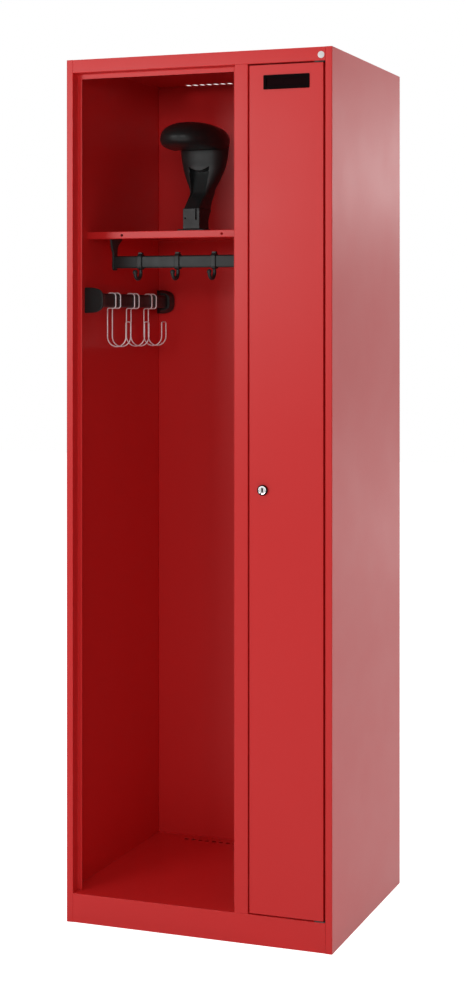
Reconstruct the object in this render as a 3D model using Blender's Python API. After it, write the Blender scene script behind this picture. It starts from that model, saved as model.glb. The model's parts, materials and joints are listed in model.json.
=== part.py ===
"""Steel cloakroom locker: an open coat compartment beside a narrow compartment with a lockable door.

Metres, +Z up. The origin is the centre of the base on the floor and the front faces -Y.
Every object below is one physical piece; hidden wire objects only cut or join other pieces.
"""

import math

import bmesh
import bpy
from mathutils import Vector

# Driving dimensions of the cabinet
WIDTH = 0.600
DEPTH = 0.500
HEIGHT = 1.850
SHEET = 0.001                 # steel sheet thickness
GAP = 0.0003                  # paint gap between pieces that touch
INNER_BEND = 0.0006           # inside radius of a fold
BEND_STEPS = 3

STILE = 0.015                 # face width of the side stiles
TOP_RAIL = 0.0285
PLINTH = 0.0623               # height of the floor panel's upper face
RETURN_DEPTH = 0.024          # from the front face back to the stop flange
STOP_FLANGE = 0.010
BACK_INSET = 0.010            # the back wall stands this far inside the rear edge
REAR_HEM = 0.012

DIVIDER_LEFT = 0.0865
DIVIDER_RIGHT = 0.1165
PARTITION_X = 0.101           # left face of the partition wall

# Door
DOOR_GAP = 0.003
HINGE_GAP = 0.004             # gap beside the hinge edge
DOOR_THICKNESS = 0.018
DOOR_FLANGE = 0.012
PIVOT_INSET = 0.012           # pin axis from the hinge edge of the door
PIVOT_DEPTH = 0.007           # pin axis behind the door's face
PIN_RADIUS = 0.003
BUSH_RADIUS = 0.0048          # the part of a bush that sits in the door
LOCK_X = 0.150
LOCK_Z = 0.941
LOCK_BARREL_RADIUS = 0.0095
LABEL_HOLE_MARGIN = 0.003     # the label frame's rim laps the door's cut-out by this much

# Coat compartment fittings
SHELF_TOP = 1.4854
SHELF_FRONT_Y = -0.150
RAIL_Y = -0.100
RAIL_Z = 1.4200
RAIL_SIZE = (0.014, 0.027)    # depth and height of the coat rail
RAIL_ENDS = (-0.256, 0.057)   # middle of each end bracket
RAIL_SEAT = 0.0011            # the rail's ends pass the middle of the bracket by this much
RAIL_HOOK_X = (-0.193, -0.104, -0.018)
SIDE_BAR_X = -0.2706
SIDE_BAR_Z = 1.3354
SIDE_BAR_SIZE = (0.016, 0.030)
SIDE_BAR_ENDS = (-0.164, 0.235)
WIRE_HOOK_Y = (-0.0722, 0.0285, 0.126)
WIRE_RADIUS = 0.00135
WIRE_PITCH = 0.025            # between the two wires of one hook
HELMET_X = -0.097
HELMET_Y = -0.015
PAD_LOW = 1.6715              # underside of the helmet pad
PAD_SEAM_Y = -0.005           # behind this the seam between arm and pad climbs

# Derived places
SIDE = WIDTH / 2
FRONT = -DEPTH / 2
REAR = DEPTH / 2
STOP_Y = FRONT + RETURN_DEPTH           # front face of the stop flanges
INSIDE_X = SIDE - SHEET - GAP           # a fitting's reach towards a side wall
OPENING_X = SIDE - STILE
OPENING_TOP = HEIGHT - TOP_RAIL
WALL_TOP = HEIGHT - SHEET - GAP
FLOOR_TOP = PLINTH + GAP
BACK_FACE = REAR - BACK_INSET
DOOR_LEFT = DIVIDER_RIGHT + DOOR_GAP
DOOR_RIGHT = OPENING_X - HINGE_GAP
DOOR_BOTTOM = PLINTH + DOOR_GAP + 0.0002
DOOR_TOP = OPENING_TOP - DOOR_GAP - 0.0005
DOOR_BACK = FRONT + DOOR_THICKNESS
PIVOT = (DOOR_RIGHT - PIVOT_INSET, FRONT + PIVOT_DEPTH, 0.0)


# ---------------------------------------------------------------- materials

def make_material(name, colour, roughness, metallic=0.0):
    """A plain Principled material."""
    made = bpy.data.materials.new(name)
    made.use_nodes = True
    shader = made.node_tree.nodes["Principled BSDF"]
    shader.inputs["Base Color"].default_value = (*colour, 1.0)
    shader.inputs["Roughness"].default_value = roughness
    shader.inputs["Metallic"].default_value = metallic
    made.diffuse_color = (*colour, 1.0)
    return made


def make_materials():
    """Every finish used on the locker."""
    return {
        "paint": make_material("red_paint", (0.55, 0.03, 0.025), 0.4),
        "black": make_material("black_plastic", (0.02, 0.02, 0.022), 0.5),
        "rubber": make_material("black_rubber", (0.015, 0.015, 0.015), 0.8),
        "pane": make_material("label_pane", (0.03, 0.02, 0.02), 0.1),
        "card": make_material("label_card", (0.03, 0.012, 0.014), 0.7),
        "zinc": make_material("zinc_steel", (0.55, 0.55, 0.56), 0.35, 1.0),
        "chrome": make_material("chrome", (0.75, 0.75, 0.76), 0.12, 1.0),
        "wire": make_material("bright_wire", (0.75, 0.72, 0.72), 0.2, 1.0),
        "nylon": make_material("nylon", (0.04, 0.04, 0.042), 0.5),
        "badge": make_material("badge_white", (0.8, 0.8, 0.8), 0.35),
    }


# ---------------------------------------------------------------- outlines

def round_corner(before, corner, after, radius, steps):
    """Points of the arc that replaces one corner of a path; works in 2-D and 3-D."""
    corner = Vector(corner)
    towards_before = (Vector(before) - corner).normalized()
    towards_after = (Vector(after) - corner).normalized()
    half = towards_before.angle(towards_after) / 2
    bisector = (towards_before + towards_after).normalized()
    centre = corner + bisector * (radius / math.sin(half))
    start = (corner + towards_before * (radius / math.tan(half)) - centre).normalized()
    end = (corner + towards_after * (radius / math.tan(half)) - centre).normalized()
    sweep = start.angle(end)
    points = []
    for step in range(steps + 1):
        part = step / steps
        blend = start * math.sin((1 - part) * sweep) + end * math.sin(part * sweep)
        points.append(centre + blend * (radius / math.sin(sweep)))
    return points


def rounded_path(corners, radii, steps):
    """An open path with each inner corner turned into an arc of its own radius."""
    path = [Vector(corners[0])]
    for index, radius in enumerate(radii, start=1):
        path += round_corner(corners[index - 1], corners[index], corners[index + 1], radius, steps)
    path.append(Vector(corners[-1]))
    return path


def rounded_rectangle(low, high, radius, steps=3):
    """A closed rectangle outline with rounded corners, counter-clockwise."""
    corners = [(low[0], low[1]), (high[0], low[1]), (high[0], high[1]), (low[0], high[1])]
    outline = []
    for index in range(4):
        outline += round_corner(
            corners[index - 1], corners[index], corners[(index + 1) % 4], radius, steps
        )
    return outline


def circle(centre, radius, count):
    """A closed round outline."""
    turns = [2 * math.pi * index / count for index in range(count)]
    return [
        Vector((centre[0] + radius * math.cos(turn), centre[1] + radius * math.sin(turn)))
        for turn in turns
    ]


def folded_outline(line):
    """The cut edge of a folded sheet whose visible face runs along the line, metal on its left."""
    line = [Vector(point) for point in line]
    directions = [(b - a).normalized() for a, b in zip(line, line[1:])]
    lefts = [Vector((-way.y, way.x)) for way in directions]
    face = [line[0]]
    back = [line[0] + lefts[0] * SHEET]
    for index in range(1, len(line) - 1):
        turns_left = directions[index - 1].cross(directions[index]) > 0
        radius = INNER_BEND + SHEET if turns_left else INNER_BEND
        arc = round_corner(line[index - 1], line[index], line[index + 1], radius, BEND_STEPS)
        side = 1 if turns_left else -1
        centre = line[index] + (lefts[index - 1] + lefts[index]) * (side * radius)
        for point in arc:
            outward = (point - centre).normalized()
            face.append(point)
            back.append(point - outward * (side * SHEET))
    face.append(line[-1])
    back.append(line[-1] + lefts[-1] * SHEET)
    return face + back[::-1]


# ---------------------------------------------------------------- meshes

def on_axis(axis, point, along):
    """A 2-D point and a distance along the axis, as a 3-D point."""
    if axis == "X":
        return Vector((along, point[0], point[1]))
    if axis == "Y":
        return Vector((point[0], along, point[1]))
    return Vector((point[0], point[1], along))


def finish_mesh(builder, smooth_angle):
    """Turn a bmesh into a mesh with its faces pointing out."""
    bmesh.ops.recalc_face_normals(builder, faces=builder.faces)
    mesh = bpy.data.meshes.new("piece")
    builder.to_mesh(mesh)
    builder.free()
    if smooth_angle:
        mesh.shade_smooth()
        mesh.set_sharp_from_angle(angle=math.radians(smooth_angle))
    return mesh


def prism(outline, axis, low, high, smooth_angle=0):
    """A closed outline pushed along an axis."""
    builder = bmesh.new()
    corners = [builder.verts.new(on_axis(axis, point, low)) for point in outline]
    face = builder.faces.new(corners)
    pushed = bmesh.ops.extrude_face_region(builder, geom=[face])
    moved = [item for item in pushed["geom"] if isinstance(item, bmesh.types.BMVert)]
    bmesh.ops.translate(builder, verts=moved, vec=on_axis(axis, (0, 0), high - low))
    return finish_mesh(builder, smooth_angle)


def box(low, high):
    """A rectangular block between two corners."""
    outline = [(low[0], low[1]), (high[0], low[1]), (high[0], high[1]), (low[0], high[1])]
    return prism(outline, "Z", low[2], high[2])


def loft(sections, smooth_angle=40):
    """A skin over closed 3-D sections of equal point count, capped at both ends."""
    builder = bmesh.new()
    loops = [[builder.verts.new(point) for point in section] for section in sections]
    for lower, upper in zip(loops, loops[1:]):
        for index in range(len(lower)):
            following = (index + 1) % len(lower)
            builder.faces.new((lower[index], lower[following], upper[following], upper[index]))
    builder.faces.new(loops[0][::-1])
    builder.faces.new(loops[-1])
    return finish_mesh(builder, smooth_angle)


def turned(profile, axis, centre, count=24, smooth_angle=35):
    """A closed (radius, height) profile turned about an axis through a 2-D centre."""
    builder = bmesh.new()
    loops = []
    for radius, along in profile:
        if radius == 0:
            loops.append([builder.verts.new(on_axis(axis, centre, along))])
        else:
            points = circle(centre, radius, count)
            loops.append([builder.verts.new(on_axis(axis, point, along)) for point in points])
    for first, second in zip(loops, loops[1:] + loops[:1]):
        if len(first) == 1 and len(second) == 1:
            continue
        for index in range(count):
            following = (index + 1) % count
            ring = [first[index % len(first)], first[following % len(first)],
                    second[following % len(second)], second[index % len(second)]]
            builder.faces.new(list(dict.fromkeys(ring)))
    return finish_mesh(builder, smooth_angle)


def bar_profile(radius, low, high, chamfer=0.0):
    """Profile of a plain round bar, with its rims broken by a chamfer."""
    if chamfer:
        return [(0, low), (radius - chamfer, low), (radius, low + chamfer),
                (radius, high - chamfer), (radius - chamfer, high), (0, high)]
    return [(0, low), (radius, low), (radius, high), (0, high)]


def ball_profile(radius, centre):
    """Profile of a ball about a height on the axis."""
    belt = [math.radians(turn) for turn in (-60, -30, 0, 30, 60)]
    middle = [(radius * math.cos(turn), centre + radius * math.sin(turn)) for turn in belt]
    return [(0, centre - radius), *middle, (0, centre + radius)]


# ---------------------------------------------------------------- objects

def place(name, data, material, origin=(0.0, 0.0, 0.0), parent=None):
    """Link a piece that was drawn in world space, and move its origin to a given point."""
    made = bpy.data.objects.new(name, data)
    bpy.context.collection.objects.link(made)
    origin = Vector(origin)
    data.materials.append(material)
    if isinstance(data, bpy.types.Mesh):
        for vertex in data.vertices:
            vertex.co -= origin
    made.location = origin
    if parent:
        made.parent = parent
        made.location = origin - Vector(parent.location)
    return made


def helper(name, mesh):
    """A hidden body that only cuts or joins another piece."""
    made = bpy.data.objects.new(name, mesh)
    bpy.context.collection.objects.link(made)
    made.hide_render = True
    made.display_type = "WIRE"
    return made


def combine(target, mesh, operation):
    """Add one Boolean step with a hidden body."""
    step = target.modifiers.new(operation.lower(), "BOOLEAN")
    step.operation = operation
    step.solver = "EXACT"
    step.object = helper(f"{target.name}_{operation.lower()}", mesh)


def cut(target, mesh):
    """Take a hidden body away from a piece."""
    combine(target, mesh, "DIFFERENCE")


def join(target, mesh):
    """Add a hidden body to a piece."""
    combine(target, mesh, "UNION")


def soften(target, width, segments=2):
    """Round the edges sharper than 30 degrees."""
    bevel = target.modifiers.new("soft_edges", "BEVEL")
    bevel.width = width
    bevel.segments = segments
    bevel.limit_method = "ANGLE"
    bevel.angle_limit = math.radians(30)


def axis_empty(name, location):
    """An empty on a joint's axis."""
    made = bpy.data.objects.new(name, None)
    made.location = location
    bpy.context.collection.objects.link(made)
    return made


# ---------------------------------------------------------------- cabinet

def make_side(name, hand, paint):
    """Side wall with its rear hem, front stile, return and stop flange; hand -1 is the left one."""
    line = [
        (-SIDE + REAR_HEM, REAR),
        (-SIDE, REAR),
        (-SIDE, FRONT),
        (-OPENING_X, FRONT),
        (-OPENING_X, STOP_Y),
        (-OPENING_X + STOP_FLANGE, STOP_Y),
    ]
    outline = [(-hand * point.x, point.y) for point in folded_outline(line)]
    side = place(name, prism(outline, "Z", 0.0, HEIGHT), paint)
    inner = sorted((hand * INSIDE_X, hand * (OPENING_X - 2 * STOP_FLANGE)))
    for low, high in ((-SHEET, FLOOR_TOP), (WALL_TOP, HEIGHT + SHEET)):
        cut(side, box((inner[0], FRONT + SHEET + GAP, low), (inner[1], REAR - SHEET - GAP, high)))


def vent_row(low_x, high_x, count):
    """X of each slot in one row, centred between the walls of a compartment."""
    pitch = 0.0175
    centre = (low_x + high_x) / 2
    return [centre + (index - (count - 1) / 2) * pitch for index in range(count)]


def cut_vents(panel, y, half_breadth, low, high):
    """One row of slots over each compartment, made as a single hidden body."""
    half_length = 0.0058
    corner = 0.0045
    coat_row = vent_row(-OPENING_X, DIVIDER_LEFT, 14)
    narrow_row = vent_row(DIVIDER_RIGHT, OPENING_X, 7)
    builder = bmesh.new()
    for x in coat_row + narrow_row:
        near = (x - half_length, y - half_breadth)
        far = (x + half_length, y + half_breadth)
        outline = rounded_rectangle(near, far, corner)
        slot = prism(outline, "Z", low, high)
        builder.from_mesh(slot)
        bpy.data.meshes.remove(slot)
    cut(panel, finish_mesh(builder, 0))


def cut_corners(panel, low, high):
    """Clear a mirrored pair of corners, given for the right-hand side."""
    for hand in (1, -1):
        x_low, x_high = sorted((hand * low[0], hand * high[0]))
        cut(panel, box((x_low, low[1], low[2]), (x_high, high[1], high[2])))


def make_roof(paint):
    """Roof sheet with its front rail, return and stop flange, and a lip at the rear."""
    rear_lip = 0.012
    rear = REAR - SHEET - GAP
    flange_bottom = OPENING_TOP - STOP_FLANGE - 0.0005
    line = [
        (rear, HEIGHT - rear_lip),
        (rear, HEIGHT),
        (FRONT, HEIGHT),
        (FRONT, OPENING_TOP),
        (STOP_Y, OPENING_TOP),
        (STOP_Y, flange_bottom),
    ]
    roof = place("roof_panel", prism(folded_outline(line), "X", -INSIDE_X, INSIDE_X), paint)
    rail_end = OPENING_X - GAP
    behind_face = FRONT + SHEET + GAP
    below = flange_bottom - SHEET
    beyond = SIDE + SHEET
    cut_corners(roof, (rail_end, FRONT - SHEET, below), (beyond, STOP_Y + 3 * SHEET, WALL_TOP))
    cut_corners(roof, (rail_end, FRONT - SHEET, WALL_TOP - SHEET), (beyond, behind_face, HEIGHT + SHEET))
    flange_end = OPENING_X - STOP_FLANGE - GAP
    behind_flange = STOP_Y + 2 * SHEET
    cut_corners(
        roof, (flange_end, STOP_Y - GAP, below), (beyond, behind_flange, OPENING_TOP + 2 * SHEET)
    )
    divider_low = DIVIDER_LEFT - STOP_FLANGE - GAP
    divider_high = DIVIDER_RIGHT + STOP_FLANGE + GAP
    cut(roof, box((divider_low, STOP_Y - GAP, below), (divider_high, behind_flange, OPENING_TOP - GAP)))
    cut_vents(roof, 0.222, 0.011, HEIGHT - 4 * SHEET, HEIGHT + SHEET)


def make_floor(paint):
    """Floor sheet folded down into the front plinth and the rear rail."""
    rear = REAR - SHEET - GAP
    foot_fold = 0.015
    line = [
        (rear - foot_fold, 0.0),
        (rear, 0.0),
        (rear, PLINTH),
        (FRONT, PLINTH),
        (FRONT, 0.0),
        (FRONT + foot_fold, 0.0),
    ]
    floor = place("floor_panel", prism(folded_outline(line), "X", -INSIDE_X, INSIDE_X), paint)
    cut_corners(
        floor,
        (OPENING_X - GAP, FRONT - SHEET, -SHEET),
        (SIDE + SHEET, FRONT + SHEET + GAP, PLINTH + SHEET),
    )
    cut_vents(floor, 0.208, 0.005, PLINTH - 4 * SHEET, PLINTH + SHEET)


def make_back(paint):
    """Back wall, a sheet with its side edges folded rearwards."""
    fold = REAR - 2 * SHEET - 2 * GAP
    line = [
        (-INSIDE_X, fold),
        (-INSIDE_X, BACK_FACE),
        (INSIDE_X, BACK_FACE),
        (INSIDE_X, fold),
    ]
    place("back_panel", prism(folded_outline(line), "Z", FLOOR_TOP, WALL_TOP), paint)


def make_partition(paint):
    """Wall between the two compartments, flanged at the front and the rear."""
    flange = PARTITION_X + 0.012
    front = FRONT + SHEET + GAP
    rear = BACK_FACE - 2 * GAP
    line = [(flange, rear), (PARTITION_X, rear), (PARTITION_X, front), (flange, front)]
    wall = place("partition_wall", prism(folded_outline(line), "Z", FLOOR_TOP, WALL_TOP), paint)
    notch_low = (PARTITION_X - SHEET, FRONT - SHEET, OPENING_TOP - GAP)
    notch_high = (DIVIDER_RIGHT, STOP_Y + 2 * SHEET, HEIGHT)
    cut(wall, box(notch_low, notch_high))


def make_centre_stile(paint):
    """Post between the compartments with a return and a stop flange on both sides."""
    line = [
        (DIVIDER_LEFT - STOP_FLANGE, STOP_Y),
        (DIVIDER_LEFT, STOP_Y),
        (DIVIDER_LEFT, FRONT),
        (DIVIDER_RIGHT, FRONT),
        (DIVIDER_RIGHT, STOP_Y),
        (DIVIDER_RIGHT + STOP_FLANGE, STOP_Y),
    ]
    place("centre_stile", prism(folded_outline(line), "Z", FLOOR_TOP, OPENING_TOP - GAP), paint)


def make_feet(zinc, rubber):
    """Levelling feet in the plinth: a welded plate, a threaded stud and a rubber pad at each corner."""
    plate_size = 0.050
    plate_z = 0.034
    foot_y = 0.215
    stud_radius = 0.005
    stud_top = PLINTH - 0.012
    pad_radius = 0.018
    pad_top = 0.007
    collar_top = pad_top + 0.004
    for name, x_hand, y_hand in (
        ("front_left", -1, -1), ("front_right", 1, -1), ("rear_left", -1, 1), ("rear_right", 1, 1)
    ):
        edge_x = x_hand * INSIDE_X
        centre = (edge_x - x_hand * plate_size / 2, y_hand * foot_y)
        flange_z = plate_z - plate_size / 2
        line = [
            (edge_x, flange_z), (edge_x, plate_z), (edge_x - x_hand * plate_size, plate_z)
        ]
        if x_hand < 0:
            line = line[::-1]
        span = (centre[1] - plate_size / 2, centre[1] + plate_size / 2)
        plate = place(f"foot_plate_{name}", prism(folded_outline(line), "Y", *span), zinc)
        hole = bar_profile(stud_radius + GAP, flange_z, plate_z + SHEET)
        cut(plate, turned(hole, "Z", centre, 16, 0))
        profile = [
            (0, 0.0), (pad_radius - SHEET, 0.0), (pad_radius, SHEET), (pad_radius, pad_top - SHEET),
            (pad_radius - SHEET, pad_top), (0.010, pad_top), (0.008, collar_top),
            (stud_radius, collar_top), (stud_radius, stud_top), (0, stud_top),
        ]
        place(f"levelling_foot_{name}", turned(profile, "Z", centre, 16), rubber)


# ---------------------------------------------------------------- shelves and rail

def make_shelf(name, low_x, high_x, front_y, rear_y, paint):
    """A shelf sheet with a deep hemmed lip at the front and a small one at the rear."""
    front_lip = 0.016
    rear_lip = 0.007
    hem = 0.008
    line = [
        (rear_y, SHELF_TOP - rear_lip),
        (rear_y, SHELF_TOP),
        (front_y, SHELF_TOP),
        (front_y, SHELF_TOP - front_lip),
        (front_y + hem, SHELF_TOP - front_lip),
    ]
    return place(name, prism(folded_outline(line), "X", low_x, high_x), paint)


def make_coat_shelf(paint):
    """The shelf of the open compartment, with two small holes in its front lip."""
    rear = BACK_FACE - 2 * GAP
    shelf = make_shelf("coat_shelf", -INSIDE_X, PARTITION_X - GAP, SHELF_FRONT_Y, rear, paint)
    hole_radius = 0.0030
    hole_reach = 3 * SHEET
    hole_z = SHELF_TOP - 0.0084
    for x in (-0.216, 0.0185):
        hole = bar_profile(hole_radius, SHELF_FRONT_Y - hole_reach, SHELF_FRONT_Y + hole_reach)
        cut(shelf, turned(hole, "Y", (x, hole_z), 12, 0))


def make_shelf_clips(paint):
    """Angle clips on the walls that carry the coat shelf."""
    drop = 0.020
    reach = 0.013
    length = 0.020
    top = SHELF_TOP - SHEET - GAP
    for side_name, wall_x, hand in (("left", -INSIDE_X, 1), ("right", PARTITION_X - GAP, -1)):
        line = [(wall_x, top - drop), (wall_x, top), (wall_x + hand * reach, top)]
        outline = folded_outline(line[::-hand])
        for end_name, y in (("front", -0.118), ("rear", 0.200)):
            clip = prism(outline, "Y", y, y + length)
            place(f"shelf_clip_{side_name}_{end_name}", clip, paint)


def rail_outline(spread):
    """Section of the coat rail in the Y-Z plane, grown by a clearance."""
    half_y = RAIL_SIZE[0] / 2 + spread
    half_z = RAIL_SIZE[1] / 2 + spread
    return rounded_rectangle(
        (RAIL_Y - half_y, RAIL_Z - half_z), (RAIL_Y + half_y, RAIL_Z + half_z), 0.0035 + spread
    )


def make_coat_rail(black):
    """Flat-sided coat rail that hangs under the shelf."""
    rail = prism(rail_outline(0.0), "X", RAIL_ENDS[0] - RAIL_SEAT, RAIL_ENDS[1] + RAIL_SEAT, 40)
    place("coat_rail", rail, black)


def make_rail_bracket(name, x, black):
    """Hanger: a thin end plate that cups the rail and spreads out into a foot under the shelf."""
    top = SHELF_TOP - SHEET - GAP
    corner_share = 0.45
    plate = 0.0026
    foot = 0.0045
    neck = 0.0098
    levels = [
        (top, foot, 0.0250, 0.0380),
        (top - 0.004, foot, 0.0250, 0.0370),
        (top - 0.006, plate, 0.0235, 0.0360),
        (RAIL_Z + 0.050, plate, 0.0220, 0.0345),
        (RAIL_Z + 0.043, plate, 0.0205, 0.0240),
        (RAIL_Z + 0.036, plate, 0.0185, 0.0150),
        (RAIL_Z + 0.026, plate, 0.0137, 0.0105),
        (RAIL_Z + 0.017, plate, neck, neck),
        (RAIL_Z - 0.012, plate, neck, neck),
        (RAIL_Z - 0.0160, plate, 0.0085, 0.0085),
        (RAIL_Z - 0.0180, plate, 0.0060, 0.0060),
    ]
    sections = []
    for z, half_x, forward, rearward in levels:
        near = (x - half_x, RAIL_Y - forward)
        far = (x + half_x, RAIL_Y + rearward)
        outline = rounded_rectangle(near, far, half_x * corner_share)
        sections.append([on_axis("Z", point, z) for point in outline])
    bracket = place(name, loft(sections), black)
    inward = 1 if x < 0 else -1
    open_reach = 0.020
    pocket = sorted((x - inward * (RAIL_SEAT + GAP), x + inward * open_reach))
    cut(bracket, prism(rail_outline(GAP), "X", *pocket, 40))


def tube_mesh(path, radius, bevel_resolution):
    """A round wire along a path, as a mesh."""
    curve = bpy.data.curves.new("wire", "CURVE")
    curve.dimensions = "3D"
    curve.bevel_depth = radius
    curve.bevel_resolution = bevel_resolution
    curve.use_fill_caps = True
    spline = curve.splines.new("POLY")
    spline.points.add(len(path) - 1)
    for target, point in zip(spline.points, path):
        target.co = (*point, 1.0)
    guide = bpy.data.objects.new("wire_guide", curve)
    bpy.context.collection.objects.link(guide)
    bpy.context.view_layer.update()
    evaluated = guide.evaluated_get(bpy.context.evaluated_depsgraph_get())
    mesh = bpy.data.meshes.new_from_object(evaluated)
    bpy.data.objects.remove(guide)
    builder = bmesh.new()
    builder.from_mesh(mesh)
    bmesh.ops.remove_doubles(builder, verts=builder.verts, dist=0.00001)
    bpy.data.meshes.remove(mesh)
    return finish_mesh(builder, 40)


def make_rail_hook(name, x, black):
    """Hook that slides along the coat rail: a band round the rail with a lug, and a J with a ball tip."""
    half_width = 0.005
    clearance = 0.0005
    wall = 0.003
    stem_radius = 0.0040
    bend = 0.0150
    arc = bend * 0.9
    ball_radius = 0.0055
    bottom = RAIL_Z - 0.0376
    tip_y = RAIL_Y - 2 * bend
    tip_z = bottom + 0.0140
    band = prism(rail_outline(clearance + wall), "X", x - half_width, x + half_width, 40)
    hook = place(name, band, black, origin=(x, RAIL_Y, RAIL_Z))
    band_top = RAIL_Z + RAIL_SIZE[1] / 2 + clearance + wall
    lug_half_x = 0.0045
    lug_half_y = 0.005
    join(hook, box((x - lug_half_x, RAIL_Y - lug_half_y, band_top - wall / 2),
                   (x + lug_half_x, RAIL_Y + lug_half_y, band_top + 0.004)))
    stem_top = RAIL_Z - RAIL_SIZE[1] / 2 - clearance - wall / 2
    corners = [(x, RAIL_Y, stem_top), (x, RAIL_Y, bottom), (x, tip_y, bottom), (x, tip_y, tip_z)]
    join(hook, tube_mesh(rounded_path(corners, (arc, arc), 5), stem_radius, 2))
    join(hook, turned(ball_profile(ball_radius, tip_z), "Z", (x, tip_y), 12))
    cut(hook, prism(rail_outline(clearance), "X", x - 2 * half_width, x + 2 * half_width, 40))


# ---------------------------------------------------------------- side hook bar

def side_bar_outline(spread):
    """Section of the side bar in the X-Z plane, grown by a clearance."""
    half_x = SIDE_BAR_SIZE[0] / 2 + spread
    half_z = SIDE_BAR_SIZE[1] / 2 + spread
    return rounded_rectangle(
        (SIDE_BAR_X - half_x, SIDE_BAR_Z - half_z),
        (SIDE_BAR_X + half_x, SIDE_BAR_Z + half_z),
        0.007 + spread,
    )


def make_side_bar(black):
    """Bar along the left wall that carries the wire hooks."""
    seat = 0.010
    bar = prism(side_bar_outline(0.0), "Y", SIDE_BAR_ENDS[0] + seat, SIDE_BAR_ENDS[1] - seat, 40)
    place("side_bar", bar, black)


def bell_section(y, wall_x, room_x, half_height):
    """D-shaped section of a side bar bracket, flat on its wall side."""
    power = 0.62
    section = []
    for step in range(13):
        turn = math.radians(-90 + 15 * step)
        across = max(math.cos(turn), 0.0) ** power
        height = math.copysign(abs(math.sin(turn)) ** power, math.sin(turn))
        section.append(
            Vector((wall_x + (room_x - wall_x) * across, y, SIDE_BAR_Z + half_height * height))
        )
    return section


def make_side_bar_bracket(name, end_y, inward, sleeve, black):
    """Wall bracket: a D-shaped end that narrows to a sleeve, given by its room side and half height."""
    length = 0.029
    plate = 0.005
    sleeve_wall_x = -0.2813
    sleeve_room_x, sleeve_half_height = sleeve
    mouth_room_x = -0.2550
    mouth_half_height = 0.0280
    flare_power = 2.2
    end_wall = 0.0095
    sections = []
    for station in (0.0, plate, 0.008, 0.012, 0.017, 0.022, length):
        part = max(0.0, station - plate) / (length - plate)
        spread = (1 - part) ** flare_power
        section = bell_section(
            end_y + inward * station,
            sleeve_wall_x + spread * (-INSIDE_X - sleeve_wall_x),
            sleeve_room_x + spread * (mouth_room_x - sleeve_room_x),
            sleeve_half_height + spread * (mouth_half_height - sleeve_half_height),
        )
        sections.append(section)
    if inward < 0:
        sections = sections[::-1]
    bracket = place(name, loft(sections, 50), black)
    pocket = sorted((end_y + inward * end_wall, end_y + inward * (length + end_wall)))
    cut(bracket, prism(side_bar_outline(GAP), "Y", *pocket, 40))


def make_wire_hook(name, centre_y, wire):
    """One wire bent double: it clips round the side bar and ends in a J joined by an arch."""
    slack = 0.0005
    wall_side = SIDE_BAR_X - SIDE_BAR_SIZE[0] / 2 - 2 * slack - WIRE_RADIUS
    room_side = SIDE_BAR_X + SIDE_BAR_SIZE[0] / 2 + slack + WIRE_RADIUS
    over = SIDE_BAR_Z + SIDE_BAR_SIZE[1] / 2 + slack + WIRE_RADIUS
    under = SIDE_BAR_Z - SIDE_BAR_SIZE[1] / 2 - slack - WIRE_RADIUS
    free_end = SIDE_BAR_Z - 0.002
    reach = 0.045
    hook_arc = reach / 2 * 0.99
    arch_arc = 0.006
    bottom = 1.2328
    tip = 1.2878
    outline = [
        (wall_side, free_end), (wall_side, over), (room_side, over), (room_side, under),
        (wall_side, under), (wall_side, bottom), (wall_side + reach, bottom), (wall_side + reach, tip),
    ]
    radii = [0.0078, 0.0078, 0.006, 0.004, hook_arc, hook_arc]
    near = [(x, centre_y - WIRE_PITCH / 2, z) for x, z in outline]
    far = [(x, centre_y + WIRE_PITCH / 2, z) for x, z in reversed(outline)]
    path = rounded_path(near + far, radii + [arch_arc, arch_arc] + radii[::-1], 5)
    place(name, tube_mesh(path, WIRE_RADIUS, 2), wire, origin=(SIDE_BAR_X, centre_y, SIDE_BAR_Z))


# ---------------------------------------------------------------- helmet holder

def soft_section(z, centre_y, half_x, half_y, power, count):
    """A squared oval section in the X-Y plane."""
    section = []
    for index in range(count):
        turn = 2 * math.pi * index / count
        across = math.copysign(abs(math.cos(turn)) ** (2 / power), math.cos(turn))
        along = math.copysign(abs(math.sin(turn)) ** (2 / power), math.sin(turn))
        section.append(Vector((HELMET_X + half_x * across, centre_y + half_y * along, z)))
    return section


def make_helmet_foot(seat, top, black):
    """Foot plate on the shelf with its two pan-head screws."""
    half_x = 0.033
    half_y = 0.031
    screw_reach = 0.0265
    foot = place(
        "helmet_foot",
        box((HELMET_X - half_x, HELMET_Y - half_y, seat), (HELMET_X + half_x, HELMET_Y + half_y, top)),
        black,
    )
    soften(foot, 0.002)
    shank = 0.0025
    head = 0.0045
    head_low = top + GAP
    head_top = top + 0.0028
    profile = [
        (0, seat), (shank, seat), (shank, head_low), (head, head_low),
        (head, head_top - SHEET), (head - 0.0013, head_top), (0, head_top),
    ]
    hole = bar_profile(shank + GAP, seat - SHEET, top + SHEET)
    socket = bar_profile(0.0015, head_top - 0.0016, head_top + SHEET)
    for name, hand in (("left", -1), ("right", 1)):
        centre = (HELMET_X + hand * screw_reach, HELMET_Y)
        cut(foot, turned(hole, "Z", centre, 16, 0))
        screw = place(f"helmet_screw_{name}", turned(profile, "Z", centre, 16), black)
        cut(screw, turned(socket, "Z", centre, 6, 0))


def seam_climb(y):
    """How far the seam between arm and pad has risen at a place along Y."""
    slope = 0.2
    return slope * max(0.0, y - PAD_SEAM_Y)


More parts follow.
